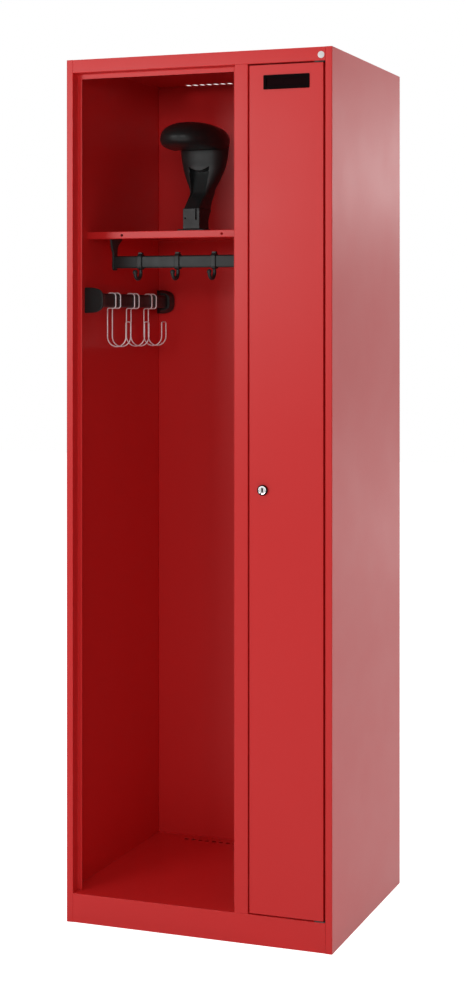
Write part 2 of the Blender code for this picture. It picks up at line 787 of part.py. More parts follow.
def make_helmet_block(low, high, black):
    """Clamp block with a slot and a pin hole in its front face; its rear leans out to meet the arm."""
    half_x = 0.020
    front = HELMET_Y - 0.0275
    rear = HELMET_Y + 0.0290
    outline = [
        (front, low), (rear, low), (rear - 0.002, low + 0.020), (rear + 0.004, low + 0.032),
        (rear + 0.016, high), (front, high),
    ]
    block = place("helmet_clamp_block", prism(outline, "X", HELMET_X - half_x, HELMET_X + half_x), black)
    soften(block, 0.0015)
    outside = front - SHEET
    inside = front + 0.006
    slot_low = (HELMET_X + 0.010, outside, high - 0.026)
    slot_high = (HELMET_X + 0.014, inside, high - 0.002)
    cut(block, box(slot_low, slot_high))
    pin_hole = bar_profile(0.0022, outside, inside)
    cut(block, turned(pin_hole, "Y", (HELMET_X - 0.014, low + 0.024), 12, 0))


def make_helmet_arm(low, black):
    """Arm that leans back from the block and flares out under the pad, with a channel up its front."""
    stations = (
        (low, -0.006, 0.0200, 0.0370, 7.0, 0.0),
        (low + 0.020, 0.010, 0.0195, 0.0330, 6.0, 0.0),
        (low + 0.034, 0.022, 0.0225, 0.0285, 4.5, 0.0),
        (low + 0.047, 0.025, 0.0262, 0.0270, 3.6, 0.0),
        (low + 0.069, 0.030, 0.0378, 0.0300, 2.8, 0.0),
        (low + 0.091, 0.0355, 0.0470, 0.0340, 2.5, 0.15),
        (low + 0.111, 0.038, 0.0520, 0.0400, 2.4, 0.55),
        (PAD_LOW - GAP, 0.039, 0.0545, 0.0440, 2.4, 1.0),
    )
    sections = []
    for z, y, half_x, half_y, power, climb in stations:
        section = soft_section(z, y, half_x, half_y, power, 28)
        for point in section:
            point.z += climb * seam_climb(point.y)
        sections.append(section)
    arm = place("helmet_arm", loft(sections, 60), black)
    grooves = ((0.0160, 0.0030), (0.0165, 0.0060), (0.0175, 0.0090), (0.0205, 0.0160), (0.0225, 0.0205))
    clear = 0.020
    channel = []
    for (z, y, _, half_y, _, _), (reach, depth) in zip(stations[1:6], grooves):
        floor_y = y - half_y + depth
        outline = (
            (HELMET_X - reach, floor_y - depth - clear), (HELMET_X + reach, floor_y - depth - clear),
            (HELMET_X + reach, floor_y), (HELMET_X - reach, floor_y),
        )
        channel.append([on_axis("Z", point, z) for point in outline])
    cut(arm, loft(channel, 0))


def make_helmet_pad(black):
    """Domed pad that a helmet rests on; its flat underside juts out in front of the arm."""
    centre_y = -0.018
    half_x = 0.067
    half_y = 0.115
    rise = 0.0600
    power = 2.15
    undercut_power = 1.3
    levels = (
        (0.0, 0.985, 0.55), (0.018, 0.99, 0.38), (0.045, 0.995, 0.22), (0.09, 1.0, 0.11),
        (0.15, 1.0, 0.045), (0.24, 1.0, 0.01), (0.34, 1.0, 0.0), (0.46, 0.985, 0.0),
        (0.60, 0.935, 0.0), (0.74, 0.84, 0.0), (0.86, 0.68, 0.0), (0.94, 0.49, 0.0),
        (0.985, 0.28, 0.0), (1.0, 0.10, 0.0),
    )
    sections = []
    for part, size, undercut in levels:
        section = soft_section(PAD_LOW + rise * part, centre_y, half_x, half_y, power, 28)
        for point in section:
            forward = max(0.0, (centre_y + half_y - point.y) / (2 * half_y))
            scale = size * (1 - undercut * forward ** undercut_power)
            point.x = HELMET_X + (point.x - HELMET_X) * scale
            point.y = centre_y + (point.y - centre_y) * scale
            point.z += (1 - part) * seam_climb(point.y)
        sections.append(section)
    place("helmet_pad", loft(sections, 60), black)


def make_helmet_holder(black):
    """Helmet stand on the shelf: foot, clamp block, arm and pad."""
    seat = SHELF_TOP + GAP
    foot_top = seat + 0.008
    block_low = foot_top + GAP
    block_top = block_low + 0.046
    make_helmet_foot(seat, foot_top, black)
    make_helmet_block(block_low, block_top, black)
    make_helmet_arm(block_top + GAP, black)
    make_helmet_pad(black)


# ---------------------------------------------------------------- door

def make_door(parent, paint):
    """Door leaf: a folded steel pan with inward flanges round its open back."""
    outer = prism(
        rounded_rectangle((DOOR_LEFT, FRONT), (DOOR_RIGHT, DOOR_BACK), 0.0015, 2),
        "Z", DOOR_BOTTOM, DOOR_TOP,
    )
    door = place("door_panel", outer, paint, origin=PIVOT, parent=parent)
    hollow = box(
        (DOOR_LEFT + SHEET, FRONT + SHEET, DOOR_BOTTOM + SHEET),
        (DOOR_RIGHT - SHEET, DOOR_BACK - SHEET, DOOR_TOP - SHEET),
    )
    cut(door, hollow)
    edge = SHEET + DOOR_FLANGE
    mouth = box(
        (DOOR_LEFT + edge, DOOR_BACK - 2 * SHEET, DOOR_BOTTOM + edge),
        (DOOR_RIGHT - edge, DOOR_BACK + SHEET, DOOR_TOP - edge),
    )
    cut(door, mouth)
    for edge_z in (DOOR_BOTTOM, DOOR_TOP):
        bush_hole = bar_profile(BUSH_RADIUS + GAP, edge_z - 2 * SHEET, edge_z + 2 * SHEET)
        cut(door, turned(bush_hole, "Z", PIVOT[:2], 24, 0))
    lock_hole = bar_profile(LOCK_BARREL_RADIUS + GAP, FRONT - SHEET, FRONT + 2 * SHEET)
    cut(door, turned(lock_hole, "Y", (LOCK_X, LOCK_Z), 24, 0))
    low, high = label_box(-LABEL_HOLE_MARGIN)
    cut(door, box((low[0], FRONT - SHEET, low[1]), (high[0], FRONT + 2 * SHEET, high[1])))


def make_door_stiffener(parent, paint):
    """Hat section welded up the inside of the door."""
    centre = (DOOR_LEFT + DOOR_RIGHT) / 2
    crown = 0.013
    brim = 0.034
    near = FRONT + 2 * SHEET + GAP
    far = DOOR_BACK - 3 * SHEET
    line = [
        (centre + brim, near), (centre + crown, near), (centre + crown, far),
        (centre - crown, far), (centre - crown, near), (centre - brim, near),
    ]
    mesh = prism(folded_outline(line), "Z", DOOR_BOTTOM + 0.060, DOOR_TOP - 0.120)
    place("door_stiffener", mesh, paint, origin=PIVOT, parent=parent)


def make_pivots(parent, zinc, nylon):
    """Pivot hinges: a plate with a pin on the frame, and a nylon bush in the door, at each end."""
    plate_thickness = 0.0015
    pin_reach = 0.010
    bush_depth = 0.008
    collar_radius = 0.0060
    plate_near = (DOOR_RIGHT - 0.020, FRONT + SHEET / 2)
    plate_rear = (OPENING_X - 0.0015, STOP_Y - 0.002)
    outline = rounded_rectangle(plate_near, plate_rear, 0.002, 2)
    for name, frame_z, door_z, up in (
        ("bottom", FLOOR_TOP, DOOR_BOTTOM, 1), ("top", OPENING_TOP - GAP, DOOR_TOP, -1)
    ):
        plate_far = frame_z + up * plate_thickness
        low, high = sorted((frame_z, plate_far))
        plate = place(f"pivot_plate_{name}", prism(outline, "Z", low, high), zinc)
        pin_low, pin_high = sorted((frame_z + up * SHEET / 2, door_z + up * pin_reach))
        join(plate, turned(bar_profile(PIN_RADIUS, pin_low, pin_high), "Z", PIVOT[:2], 24))
        collar = door_z - up * GAP
        rim = door_z - up * 3.6 * GAP
        inside = door_z + up * bush_depth
        profile = [
            (PIN_RADIUS + GAP, rim), (collar_radius, rim), (collar_radius, collar),
            (BUSH_RADIUS, collar), (BUSH_RADIUS, inside), (PIN_RADIUS + GAP, inside),
        ]
        bush = turned(profile, "Z", PIVOT[:2], 24)
        place(f"pivot_bush_{name}", bush, nylon, origin=PIVOT, parent=parent)


def make_buffers(rubber):
    """Rubber buffers on the centre stile's stop flange that the door closes on."""
    x = DIVIDER_RIGHT + STOP_FLANGE / 2
    radius = 0.004
    profile = [
        (0, STOP_Y - GAP), (radius, STOP_Y - GAP), (radius, DOOR_BACK + 0.0015),
        (radius * 0.7, DOOR_BACK + GAP), (0, DOOR_BACK + GAP),
    ]
    for name, z in (("bottom", 0.300), ("top", 1.580)):
        place(f"door_buffer_{name}", turned(profile, "Y", (x, z), 16), rubber)


# ---------------------------------------------------------------- lock and label

def make_lock_nut(parent, zinc):
    """Hexagon nut that holds the lock behind the door's face."""
    centre = (LOCK_X, LOCK_Z)
    across_corners = 0.029
    low = FRONT + SHEET + GAP
    high = low + 0.004
    hexagon = prism(circle(centre, across_corners / 2, 6), "Y", low, high)
    nut = place("lock_nut", hexagon, zinc, origin=(LOCK_X, FRONT, LOCK_Z), parent=parent)
    bore = bar_profile(LOCK_BARREL_RADIUS + GAP, low - SHEET, high + SHEET)
    cut(nut, turned(bore, "Y", centre, 32, 0))


def make_lock_plug(face, recess, end, face_radius, radius, screw_radius, chrome):
    """Plug with the keyway in front and a tapped hole behind."""
    centre = (LOCK_X, LOCK_Z)
    front = face + 0.0006
    chamfer = 0.0006
    profile = [
        (0, front), (face_radius - chamfer, front), (face_radius, front + chamfer),
        (face_radius, recess - GAP), (radius, recess - GAP), (radius, end), (0, end),
    ]
    plug = place_on_lock("lock_plug", turned(profile, "Y", centre, 32), chrome)
    half_width = 0.0016
    half_height = 0.0046
    keyway = box(
        (LOCK_X - half_width, face - SHEET, LOCK_Z - half_height),
        (LOCK_X + half_width, face + 0.006, LOCK_Z + half_height),
    )
    cut(plug, keyway)
    tapped = bar_profile(screw_radius + GAP, end - 0.009, end + SHEET)
    cut(plug, turned(tapped, "Y", centre, 16, 0))


def make_lock_cam(low, high, plug_end, screw_radius, zinc):
    """Cam that catches behind the stop flange, and the screw that holds it to the plug."""
    centre = (LOCK_X, LOCK_Z)
    hub_radius = 0.008
    tip = 0.030
    half_tip = 0.005
    chamfer = 0.002
    outline = circle(centre, hub_radius, 24)[0:13] + [
        Vector((LOCK_X - half_tip - chamfer, LOCK_Z - tip + chamfer)),
        Vector((LOCK_X - half_tip, LOCK_Z - tip)),
        Vector((LOCK_X + half_tip, LOCK_Z - tip)),
        Vector((LOCK_X + half_tip + chamfer, LOCK_Z - tip + chamfer)),
    ]
    cam = place_on_lock("lock_cam", prism(outline, "Y", low, high), zinc)
    hole = bar_profile(screw_radius + GAP, low - SHEET, high + SHEET)
    cut(cam, turned(hole, "Y", centre, 16, 0))
    head_radius = 0.0042
    head_low = high + GAP
    head_top = head_low + 0.0026
    profile = [
        (0, plug_end - 0.008), (screw_radius, plug_end - 0.008), (screw_radius, head_low),
        (head_radius, head_low), (head_radius, head_top - 0.0008), (0.003, head_top), (0, head_top),
    ]
    place_on_lock("cam_screw", turned(profile, "Y", centre, 16), zinc)


def make_lock(parent, black, chrome, zinc):
    """Cam lock: fixed housing and nut on the door, and a plug, cam and screw that turn with the key."""
    face = FRONT - 0.0062
    seat = FRONT - GAP
    barrel_end = FRONT + 0.023
    recess = face + 0.003
    rim_radius = 0.0108
    plug_face_radius = 0.0091
    plug_radius = 0.0060
    screw_radius = 0.002
    face_bore = plug_face_radius + GAP
    barrel_bore = plug_radius + GAP
    profile = [
        (face_bore, face), (rim_radius - SHEET, face), (rim_radius, face + SHEET), (rim_radius, seat),
        (LOCK_BARREL_RADIUS, seat), (LOCK_BARREL_RADIUS, barrel_end), (barrel_bore, barrel_end),
        (barrel_bore, recess), (face_bore, recess),
    ]
    housing = turned(profile, "Y", (LOCK_X, LOCK_Z), 32)
    place("lock_housing", housing, black, origin=(LOCK_X, FRONT, LOCK_Z), parent=parent)
    make_lock_nut(parent, zinc)

    turning = axis_empty("lock_axis", (LOCK_X - PIVOT[0], FRONT - PIVOT[1], LOCK_Z - PIVOT[2]))
    turning.parent = parent
    cam_low = STOP_Y + SHEET + 2 * GAP
    cam_high = cam_low + 0.002
    plug_end = cam_low - GAP
    make_lock_plug(face, recess, plug_end, plug_face_radius, plug_radius, screw_radius, chrome)
    make_lock_cam(cam_low, cam_high, plug_end, screw_radius, zinc)


def place_on_lock(name, mesh, material):
    """Place a piece that turns with the key, its origin on the lock's axis."""
    made = place(name, mesh, material, origin=(LOCK_X, FRONT, LOCK_Z))
    made.parent = bpy.data.objects["lock_axis"]
    made.location = (0.0, 0.0, 0.0)
    return made


def label_box(spread):
    """Low and high corners of the label frame's rim in the X-Z plane, grown by a margin."""
    return (0.1512 - spread, 1.7673 - spread), (0.2517 + spread, 1.7970 + spread)


def make_label(parent, black, pane, card):
    """Label holder in the door's face: a clipped-in frame, a clear pane and a plain card."""
    rim_front = FRONT - 0.0015
    sleeve_back = FRONT + 0.006
    pocket_front = FRONT + 0.0008
    low, high = label_box(0.0)
    rim = prism(rounded_rectangle(low, high, 0.0015, 2), "Y", rim_front, FRONT - GAP)
    frame = place("label_frame", rim, black, origin=PIVOT, parent=parent)
    low, high = label_box(-LABEL_HOLE_MARGIN - 0.0004)
    join(frame, box((low[0], rim_front + SHEET, low[1]), (high[0], sleeve_back, high[1])))
    low, high = label_box(-0.0048)
    cut(frame, box((low[0], pocket_front, low[1]), (high[0], sleeve_back + SHEET, high[1])))
    low, high = label_box(-0.0062)
    cut(frame, box((low[0], rim_front - SHEET, low[1]), (high[0], FRONT + 2 * SHEET, high[1])))
    low, high = label_box(-0.0051)
    for name, near, thickness, finish in (
        ("label_window", FRONT + 0.0011, 0.0010, pane), ("label_card", FRONT + 0.0024, 0.0006, card)
    ):
        sheet = box((low[0], near, low[1]), (high[0], near + thickness, high[1]))
        place(name, sheet, finish, origin=PIVOT, parent=parent)


def make_badge(badge):
    """Plain round badge on the top rail."""
    radius = 0.0072
    chamfer = 0.0004
    centre = (0.2765, 1.8335)
    back = FRONT - GAP
    front = back - 0.0012
    profile = [
        (0, back), (radius, back), (radius, front + chamfer), (radius - chamfer, front), (0, front)
    ]
    place("badge_disc", turned(profile, "Y", centre, 24), badge)


def clear_scene():
    """Start from an empty scene."""
    for existing in list(bpy.data.objects):
        bpy.data.objects.remove(existing)


def main():
    """Build every piece."""
    clear_scene()
    finish = make_materials()
    paint = finish["paint"]
    black = finish["black"]

    make_side("left_side", -1, paint)
    make_side("right_side", 1, paint)
    make_roof(paint)
    make_floor(paint)
    make_back(paint)
    make_partition(paint)
    make_centre_stile(paint)
    make_feet(finish["zinc"], finish["rubber"])

    make_coat_shelf(paint)
    narrow_low = PARTITION_X + SHEET + GAP
    make_shelf("narrow_shelf", narrow_low, INSIDE_X, -0.200, BACK_FACE - 3 * SHEET, paint)
    make_shelf_clips(paint)
    make_coat_rail(black)
    for name, x in zip(("left", "right"), RAIL_ENDS):
        make_rail_bracket(f"rail_bracket_{name}", x, black)
    for number, x in enumerate(RAIL_HOOK_X, start=1):
        make_rail_hook(f"rail_hook_{number}", x, black)

    make_side_bar(black)
    for name, end_y, inward, sleeve in (
        ("front", SIDE_BAR_ENDS[0], 1, (-0.2600, 0.0178)),
        ("rear", SIDE_BAR_ENDS[1], -1, (-0.2560, 0.0215)),
    ):
        make_side_bar_bracket(f"side_bar_bracket_{name}", end_y, inward, sleeve, black)
    for number, y in enumerate(WIRE_HOOK_Y, start=1):
        make_wire_hook(f"wire_hook_{number}", y, finish["wire"])
    make_helmet_holder(black)

    door_axis = axis_empty("door_axis", PIVOT)
    make_door(door_axis, paint)
    make_door_stiffener(door_axis, paint)
    make_pivots(door_axis, finish["zinc"], finish["nylon"])
    make_buffers(finish["rubber"])
    make_lock(door_axis, black, finish["chrome"], finish["zinc"])
    make_label(door_axis, black, finish["pane"], finish["card"])
    make_badge(finish["badge"])


main()
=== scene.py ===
"""Looks of the steel cloakroom locker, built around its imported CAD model.

Metres, +Z up, the front faces -Y. Sizes come from the CAD boxes.
"""

import json
import math

import bmesh
import bpy
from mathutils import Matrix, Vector


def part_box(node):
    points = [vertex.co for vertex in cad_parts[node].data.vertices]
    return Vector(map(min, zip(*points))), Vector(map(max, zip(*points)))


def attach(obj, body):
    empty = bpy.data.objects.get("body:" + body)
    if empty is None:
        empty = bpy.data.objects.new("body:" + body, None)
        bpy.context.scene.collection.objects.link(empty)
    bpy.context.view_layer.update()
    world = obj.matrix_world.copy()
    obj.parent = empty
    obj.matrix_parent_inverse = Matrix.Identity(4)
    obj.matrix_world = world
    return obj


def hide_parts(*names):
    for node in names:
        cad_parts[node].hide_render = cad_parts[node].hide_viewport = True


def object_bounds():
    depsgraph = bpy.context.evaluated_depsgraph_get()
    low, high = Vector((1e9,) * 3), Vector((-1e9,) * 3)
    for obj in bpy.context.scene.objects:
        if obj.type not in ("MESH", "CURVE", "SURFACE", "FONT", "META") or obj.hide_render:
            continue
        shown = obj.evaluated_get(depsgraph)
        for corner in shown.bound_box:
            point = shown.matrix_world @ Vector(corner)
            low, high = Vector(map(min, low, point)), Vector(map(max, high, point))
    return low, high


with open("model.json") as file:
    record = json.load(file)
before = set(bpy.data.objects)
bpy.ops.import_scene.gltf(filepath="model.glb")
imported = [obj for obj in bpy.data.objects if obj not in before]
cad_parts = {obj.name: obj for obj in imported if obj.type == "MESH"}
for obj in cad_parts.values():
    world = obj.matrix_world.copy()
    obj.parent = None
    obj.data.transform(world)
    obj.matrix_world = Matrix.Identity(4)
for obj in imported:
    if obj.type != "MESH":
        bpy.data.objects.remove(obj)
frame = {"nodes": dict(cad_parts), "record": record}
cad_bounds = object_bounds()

SLOT_OF = {row["node"]: row["material_slot"] for row in frame["record"]["subparts"]}
BODY_OF = {
    node: body
    for body, members in frame["record"]["behaviour"]["bodies"].items()
    for node in members
}


# ---------------------------------------------------------------- camera and studio

def make_camera():
    """Level camera at standing height, right of the locker, shifted down to take in the base."""
    data = bpy.data.cameras.new("camera")
    data.lens = 64.97
    data.sensor_width = 36.0
    data.shift_x = -0.0417
    data.shift_y = -0.1803
    data.clip_end = 50.0
    camera = bpy.data.objects.new("camera", data)
    camera.location = (1.4437, -3.7421, 1.2927)
    camera.rotation_euler = (math.radians(90), 0.0, math.radians(19.94))
    bpy.context.scene.collection.objects.link(camera)
    bpy.context.scene.camera = camera


def make_area_light(name, location, target, size, power):
    """A soft rectangular light that faces a target point."""
    data = bpy.data.lights.new(name, "AREA")
    data.shape = "RECTANGLE"
    data.size = size[0]
    data.size_y = size[1]
    data.energy = power
    light = bpy.data.objects.new(name, data)
    light.location = location
    light.rotation_euler = (Vector(target) - Vector(location)).to_track_quat("-Z", "Y").to_euler()
    light.visible_camera = False
    bpy.context.scene.collection.objects.link(light)


def make_world():
    """Soft white surroundings that look pure white behind the locker."""
    ambient = 0.13
    world = bpy.data.worlds.new("studio")
    world.use_nodes = True
    tree = world.node_tree
    rays = tree.nodes.new("ShaderNodeLightPath")
    level = tree.nodes.new("ShaderNodeMapRange")
    level.inputs["To Min"].default_value = ambient
    level.inputs["To Max"].default_value = 1.0
    background = tree.nodes["Background"]
    background.inputs["Color"].default_value = (1.0, 1.0, 1.0, 1.0)
    tree.links.new(rays.outputs["Is Camera Ray"], level.inputs["Value"])
    tree.links.new(level.outputs["Result"], background.inputs["Strength"])
    bpy.context.scene.world = world


def pale_material(name, glow, seen):
    """Matt pale floor paint; its glow shows in reflections and to the camera, and lights nothing else."""
    pale = bpy.data.materials.new(name)
    pale.use_nodes = True
    tree = pale.node_tree
    shader = tree.nodes["Principled BSDF"]
    shader.inputs["Base Color"].default_value = (0.80, 0.80, 0.80, 1.0)
    shader.inputs["Roughness"].default_value = 0.9
    shader.inputs["Specular IOR Level"].default_value = 0.1
    shader.inputs["Emission Color"].default_value = (1.0, 1.0, 1.0, 1.0)
    rays = tree.nodes.new("ShaderNodeLightPath")
    reflected = tree.nodes.new("ShaderNodeMapRange")
    reflected.inputs["To Min"].default_value = glow
    reflected.inputs["To Max"].default_value = 0.0
    tree.links.new(rays.outputs["Is Diffuse Ray"], reflected.inputs["Value"])
    level = tree.nodes.new("ShaderNodeMapRange")
    level.inputs["To Max"].default_value = seen
    tree.links.new(rays.outputs["Is Camera Ray"], level.inputs["Value"])
    tree.links.new(reflected.outputs["Result"], level.inputs["To Min"])
    tree.links.new(level.outputs["Result"], shader.inputs["Emission Strength"])
    return pale


def make_floor():
    """A pale floor lifted to the white of the surroundings and lifted less in the locker's footprint, a
    painted shade that still glows faintly to the camera through the floor vents as painted light.
    """
    reach = 12.0
    low, high = cad_bounds
    inset = 0.02
    shade = ((low[0] + inset, low[1] + inset), (high[0] - inset, high[1] - inset))
    rows = []
    for near, far in (((-reach, -reach), (reach, reach)), shade):
        rows.append([(near[0], near[1]), (far[0], near[1]), (far[0], far[1]), (near[0], far[1])])
    corners = [(x, y, 0.0) for row in rows for x, y in row]
    around = [(side, (side + 1) % 4, (side + 1) % 4 + 4, side + 4) for side in range(4)]
    mesh = bpy.data.meshes.new("floor")
    mesh.from_pydata(corners, [], around + [(4, 5, 6, 7)])
    mesh.materials.append(pale_material("studio_floor", 0.87, 1.0))
    # the patch under the locker: painted shade, dimmer than the open floor, with a faint painted glow seen
    # through the floor vents
    mesh.materials.append(pale_material("studio_floor_shade", 0.05, 0.45))
    mesh.polygons[len(around)].material_index = 1
    floor = bpy.data.objects.new("studio_floor", mesh)
    bpy.context.scene.collection.objects.link(floor)


def make_studio():
    """White room lit from in front and above; a card, a strip and a fill light shine on the right side."""
    make_world()
    make_floor()
    bpy.context.scene.view_settings.view_transform = "Standard"
    make_area_light("ceiling", (0.0, -0.2, 4.2), (0.0, 0.0, 0.95), (3.0, 3.0), 56.0)
    make_area_light("front_right", (1.3, -4.4, 1.9), (1.3, 0.0, 1.9), (2.4, 0.8), 44.0)
    make_area_light("front_left", (-2.4, -4.4, 1.9), (-2.4, 0.0, 1.9), (2.2, 0.8), 66.0)
    make_area_light("side_card", (1.9, 5.3, 2.0), (0.3, 0.0, 2.0), (2.4, 5.0), 36.5)
    make_area_light("side_strip", (1.87, 5.1, 2.07), (0.3, 0.0, 2.07), (2.4, 0.5), 9.0)
    make_area_light("side_fill", (3.4, 1.2, 1.2), (0.3, 0.0, 0.9), (1.5, 2.0), 9.0)


# ---------------------------------------------------------------- material building blocks

class Finish:
    """A Principled material with short calls for the nodes that every finish here uses."""

    def __init__(self, name, colour, roughness, metallic=0.0):
        self.material = bpy.data.materials.new(name)
        self.material.use_nodes = True
        self.tree = self.material.node_tree
        self.shader = self.tree.nodes["Principled BSDF"]
        self.colour = (*colour, 1.0)
        self.roughness = roughness
        self.shader.inputs["Base Color"].default_value = self.colour
        self.shader.inputs["Roughness"].default_value = roughness
        self.shader.inputs["Metallic"].default_value = metallic
        self.place = self.tree.nodes.new("ShaderNodeTexCoord").outputs["Object"]

    def link(self, start, end):
        self.tree.links.new(start, end)

    def noise(self, scale, detail=2.0, stretch=None):
        """Noise in metres; stretch squeezes it along the axes for brushed or drawn marks."""
        place = self.place
        if stretch:
            mapping = self.tree.nodes.new("ShaderNodeMapping")
            mapping.inputs["Scale"].default_value = stretch
            self.link(place, mapping.inputs["Vector"])
            place = mapping.outputs["Vector"]
        node = self.tree.nodes.new("ShaderNodeTexNoise")
        node.inputs["Scale"].default_value = scale
        node.inputs["Detail"].default_value = detail
        self.link(place, node.inputs["Vector"])
        return node.outputs["Fac"]

    def spread(self, value, low, high, start=0.3, end=0.7):
        """Map a 0-1 pattern between two numbers."""
        node = self.tree.nodes.new("ShaderNodeMapRange")
        node.inputs["From Min"].default_value = start
        node.inputs["From Max"].default_value = end
        node.inputs["To Min"].default_value = low
        node.inputs["To Max"].default_value = high
        self.link(value, node.inputs["Value"])
        return node.outputs["Result"]

    def edges(self, radius, start, end):
        """A mask that is 1 on edges and 0 on flats, from the angle of a rounded normal."""
        bevel = self.tree.nodes.new("ShaderNodeBevel")
        bevel.samples = 4
        bevel.inputs["Radius"].default_value = radius
        geometry = self.tree.nodes.new("ShaderNodeNewGeometry")
        dot = self.tree.nodes.new("ShaderNodeVectorMath")
        dot.operation = "DOT_PRODUCT"
        self.link(bevel.outputs["Normal"], dot.inputs[0])
        self.link(geometry.outputs["Normal"], dot.inputs[1])
        return self.spread(dot.outputs["Value"], 1.0, 0.0, start, end)

    def multiply(self, first, second):
        node = self.tree.nodes.new("ShaderNodeMath")
        node.operation = "MULTIPLY"
        self.link(first, node.inputs[0])
        if isinstance(second, float):
            node.inputs[1].default_value = second
        else:
            self.link(second, node.inputs[1])
        return node.outputs["Value"]

    def tint(self, mask, colour):
        """Mix another colour over the base colour where the mask is 1."""
        mix = self.tree.nodes.new("ShaderNodeMix")
        mix.data_type = "RGBA"
        socket = self.shader.inputs["Base Color"]
        if socket.links:
            self.link(socket.links[0].from_socket, mix.inputs["A"])
        else:
            mix.inputs["A"].default_value = self.colour
        mix.inputs["B"].default_value = (*colour, 1.0)
        self.link(mask, mix.inputs["Factor"])
        self.link(mix.outputs["Result"], socket)

    def rough(self, value):
        self.link(value, self.shader.inputs["Roughness"])

    def bump(self, height, distance, strength=1.0):
        """Add a relief of a given depth in metres."""
        node = self.tree.nodes.new("ShaderNodeBump")
        node.inputs["Strength"].default_value = strength
        node.inputs["Distance"].default_value = distance
        self.link(height, node.inputs["Height"])
        socket = self.shader.inputs["Normal"]
        if socket.links:
            self.link(socket.links[0].from_socket, node.inputs["Normal"])
        self.link(node.outputs["Normal"], socket)


# ---------------------------------------------------------------- finishes

def red_powder_coat():
    """Satin red powder coat: fine orange peel, faint cloudiness, thin paler rims that are partly wear and
    partly painted edge highlight.
    """
    finish = Finish("cabinet_paint", (0.68, 0.02, 0.02), 0.36)
    finish.shader.inputs["Specular IOR Level"].default_value = 0.33
    finish.tint(finish.spread(finish.noise(2.3, 3.0), 0.0, 0.14), (0.60, 0.016, 0.016))
    # paler rims on every edge: partly wear, partly painted edge highlight; noise breaks them up
    wear_and_highlight = finish.spread(finish.noise(160.0), 0.05, 0.25)
    finish.tint(finish.multiply(finish.edges(0.0007, 0.80, 0.995), wear_and_highlight), (0.76, 0.065, 0.06))
    finish.rough(finish.spread(finish.noise(9.0, 4.0), 0.345, 0.375))
    finish.bump(finish.noise(620.0, 2.0), 0.000018)
    return finish.material


def black_plastic(name, colour, roughness, shine=0.35):
    """Moulded black plastic with a fine spark grain and slightly worn, greyer edges."""
    finish = Finish(name, colour, roughness)
    finish.shader.inputs["Specular IOR Level"].default_value = shine
    grey = tuple(channel * 2.5 for channel in colour)
    finish.tint(finish.multiply(finish.edges(0.0008, 0.70, 0.99), 0.35), grey)
    finish.tint(finish.spread(finish.noise(30.0, 3.0), 0.0, 0.12), grey)
    finish.rough(finish.spread(finish.noise(60.0, 3.0), roughness - 0.04, roughness + 0.05))
    finish.bump(finish.noise(1900.0, 2.0), 0.000025)
    return finish.material


def metal(name, colour, roughness, patch, metallic=1.0):
    """Plated metal with cloudy patches and fine marks; bright plating is a little less metallic."""
    finish = Finish(name, colour, roughness, metallic)
    finish.tint(finish.spread(finish.noise(90.0, 4.0), 0.0, 0.5), patch)
    finish.rough(finish.spread(finish.noise(240.0, 3.0), roughness * 0.7, roughness * 1.35))
    finish.bump(finish.noise(1400.0), 0.000008)
    return finish.material


def rubber():
    """Matt black rubber with a dusty bloom."""
    finish = Finish("black_rubber", (0.016, 0.016, 0.016), 0.8)
    finish.tint(finish.spread(finish.noise(150.0, 4.0), 0.0, 0.4), (0.05, 0.048, 0.045))
    finish.bump(finish.noise(900.0, 3.0), 0.00004)
    return finish.material


def nylon():
    """Dark grey nylon, slightly cloudy."""
    finish = Finish("nylon", (0.040, 0.040, 0.042), 0.45)
    finish.tint(finish.spread(finish.noise(300.0), 0.0, 0.4), (0.060, 0.060, 0.062))
    finish.bump(finish.noise(1200.0), 0.00001)
    return finish.material


def label_pane():
    """Very dark smoked pane with faint ripples."""
    finish = Finish("label_pane", (0.007, 0.0012, 0.002), 0.45)
    finish.shader.inputs["Specular IOR Level"].default_value = 0.02
    finish.tint(finish.spread(finish.noise(40.0, 3.0), 0.0, 0.5), (0.011, 0.002, 0.003))
    finish.rough(finish.spread(finish.noise(110.0, 3.0), 0.4, 0.5))
    finish.bump(finish.noise(60.0, 1.0), 0.00001)
    return finish.material


def label_card():
    """Plain dark card with paper fibre."""
    finish = Finish("label_card", (0.030, 0.012, 0.014), 0.75)
    finish.tint(finish.spread(finish.noise(700.0, 4.0), 0.0, 0.5), (0.05, 0.02, 0.022))
    finish.bump(finish.noise(1500.0, 4.0), 0.00002)
    return finish.material


def badge_enamel():
    """Off-white enamel."""
    finish = Finish("badge_enamel", (0.80, 0.76, 0.75), 0.3)
    finish.tint(finish.spread(finish.noise(500.0, 3.0), 0.0, 0.3), (0.70, 0.66, 0.65))
    finish.bump(finish.noise(900.0), 0.00001)
    return finish.material


def make_finishes():
    """One material for each slot of the record."""
    return {
        "cabinet_paint": red_powder_coat(),
        "black_plastic": black_plastic("black_plastic", (0.012, 0.014, 0.014), 0.46, 0.38),
        "black_pad": black_plastic("black_pad", (0.010, 0.010, 0.010), 0.40, 0.25),
        "black_rubber": rubber(),
        "zinc_steel": metal("zinc_steel", (0.12, 0.10, 0.095), 0.60, (0.08, 0.07, 0.065), 0.6),
        "lock_black": black_plastic("lock_black", (0.004, 0.003, 0.003), 0.30, 0.08),
        "label_black": black_plastic("label_black", (0.004, 0.0015, 0.002), 0.60, 0.03),
        "lock_chrome": metal("lock_chrome", (0.86, 0.85, 0.86), 0.14, (0.78, 0.77, 0.79)),
        # the wire's faint pink colour and patches are painted reflection of the red cabinet around it
        "bright_wire": metal("bright_wire", (0.97, 0.92, 0.92), 0.34, (0.90, 0.85, 0.85), 0.2),
        "nylon": nylon(),
        "label_pane": label_pane(),
        "label_card": label_card(),
        "badge_enamel": badge_enamel(),
    }


# ---------------------------------------------------------------- outlines and solids

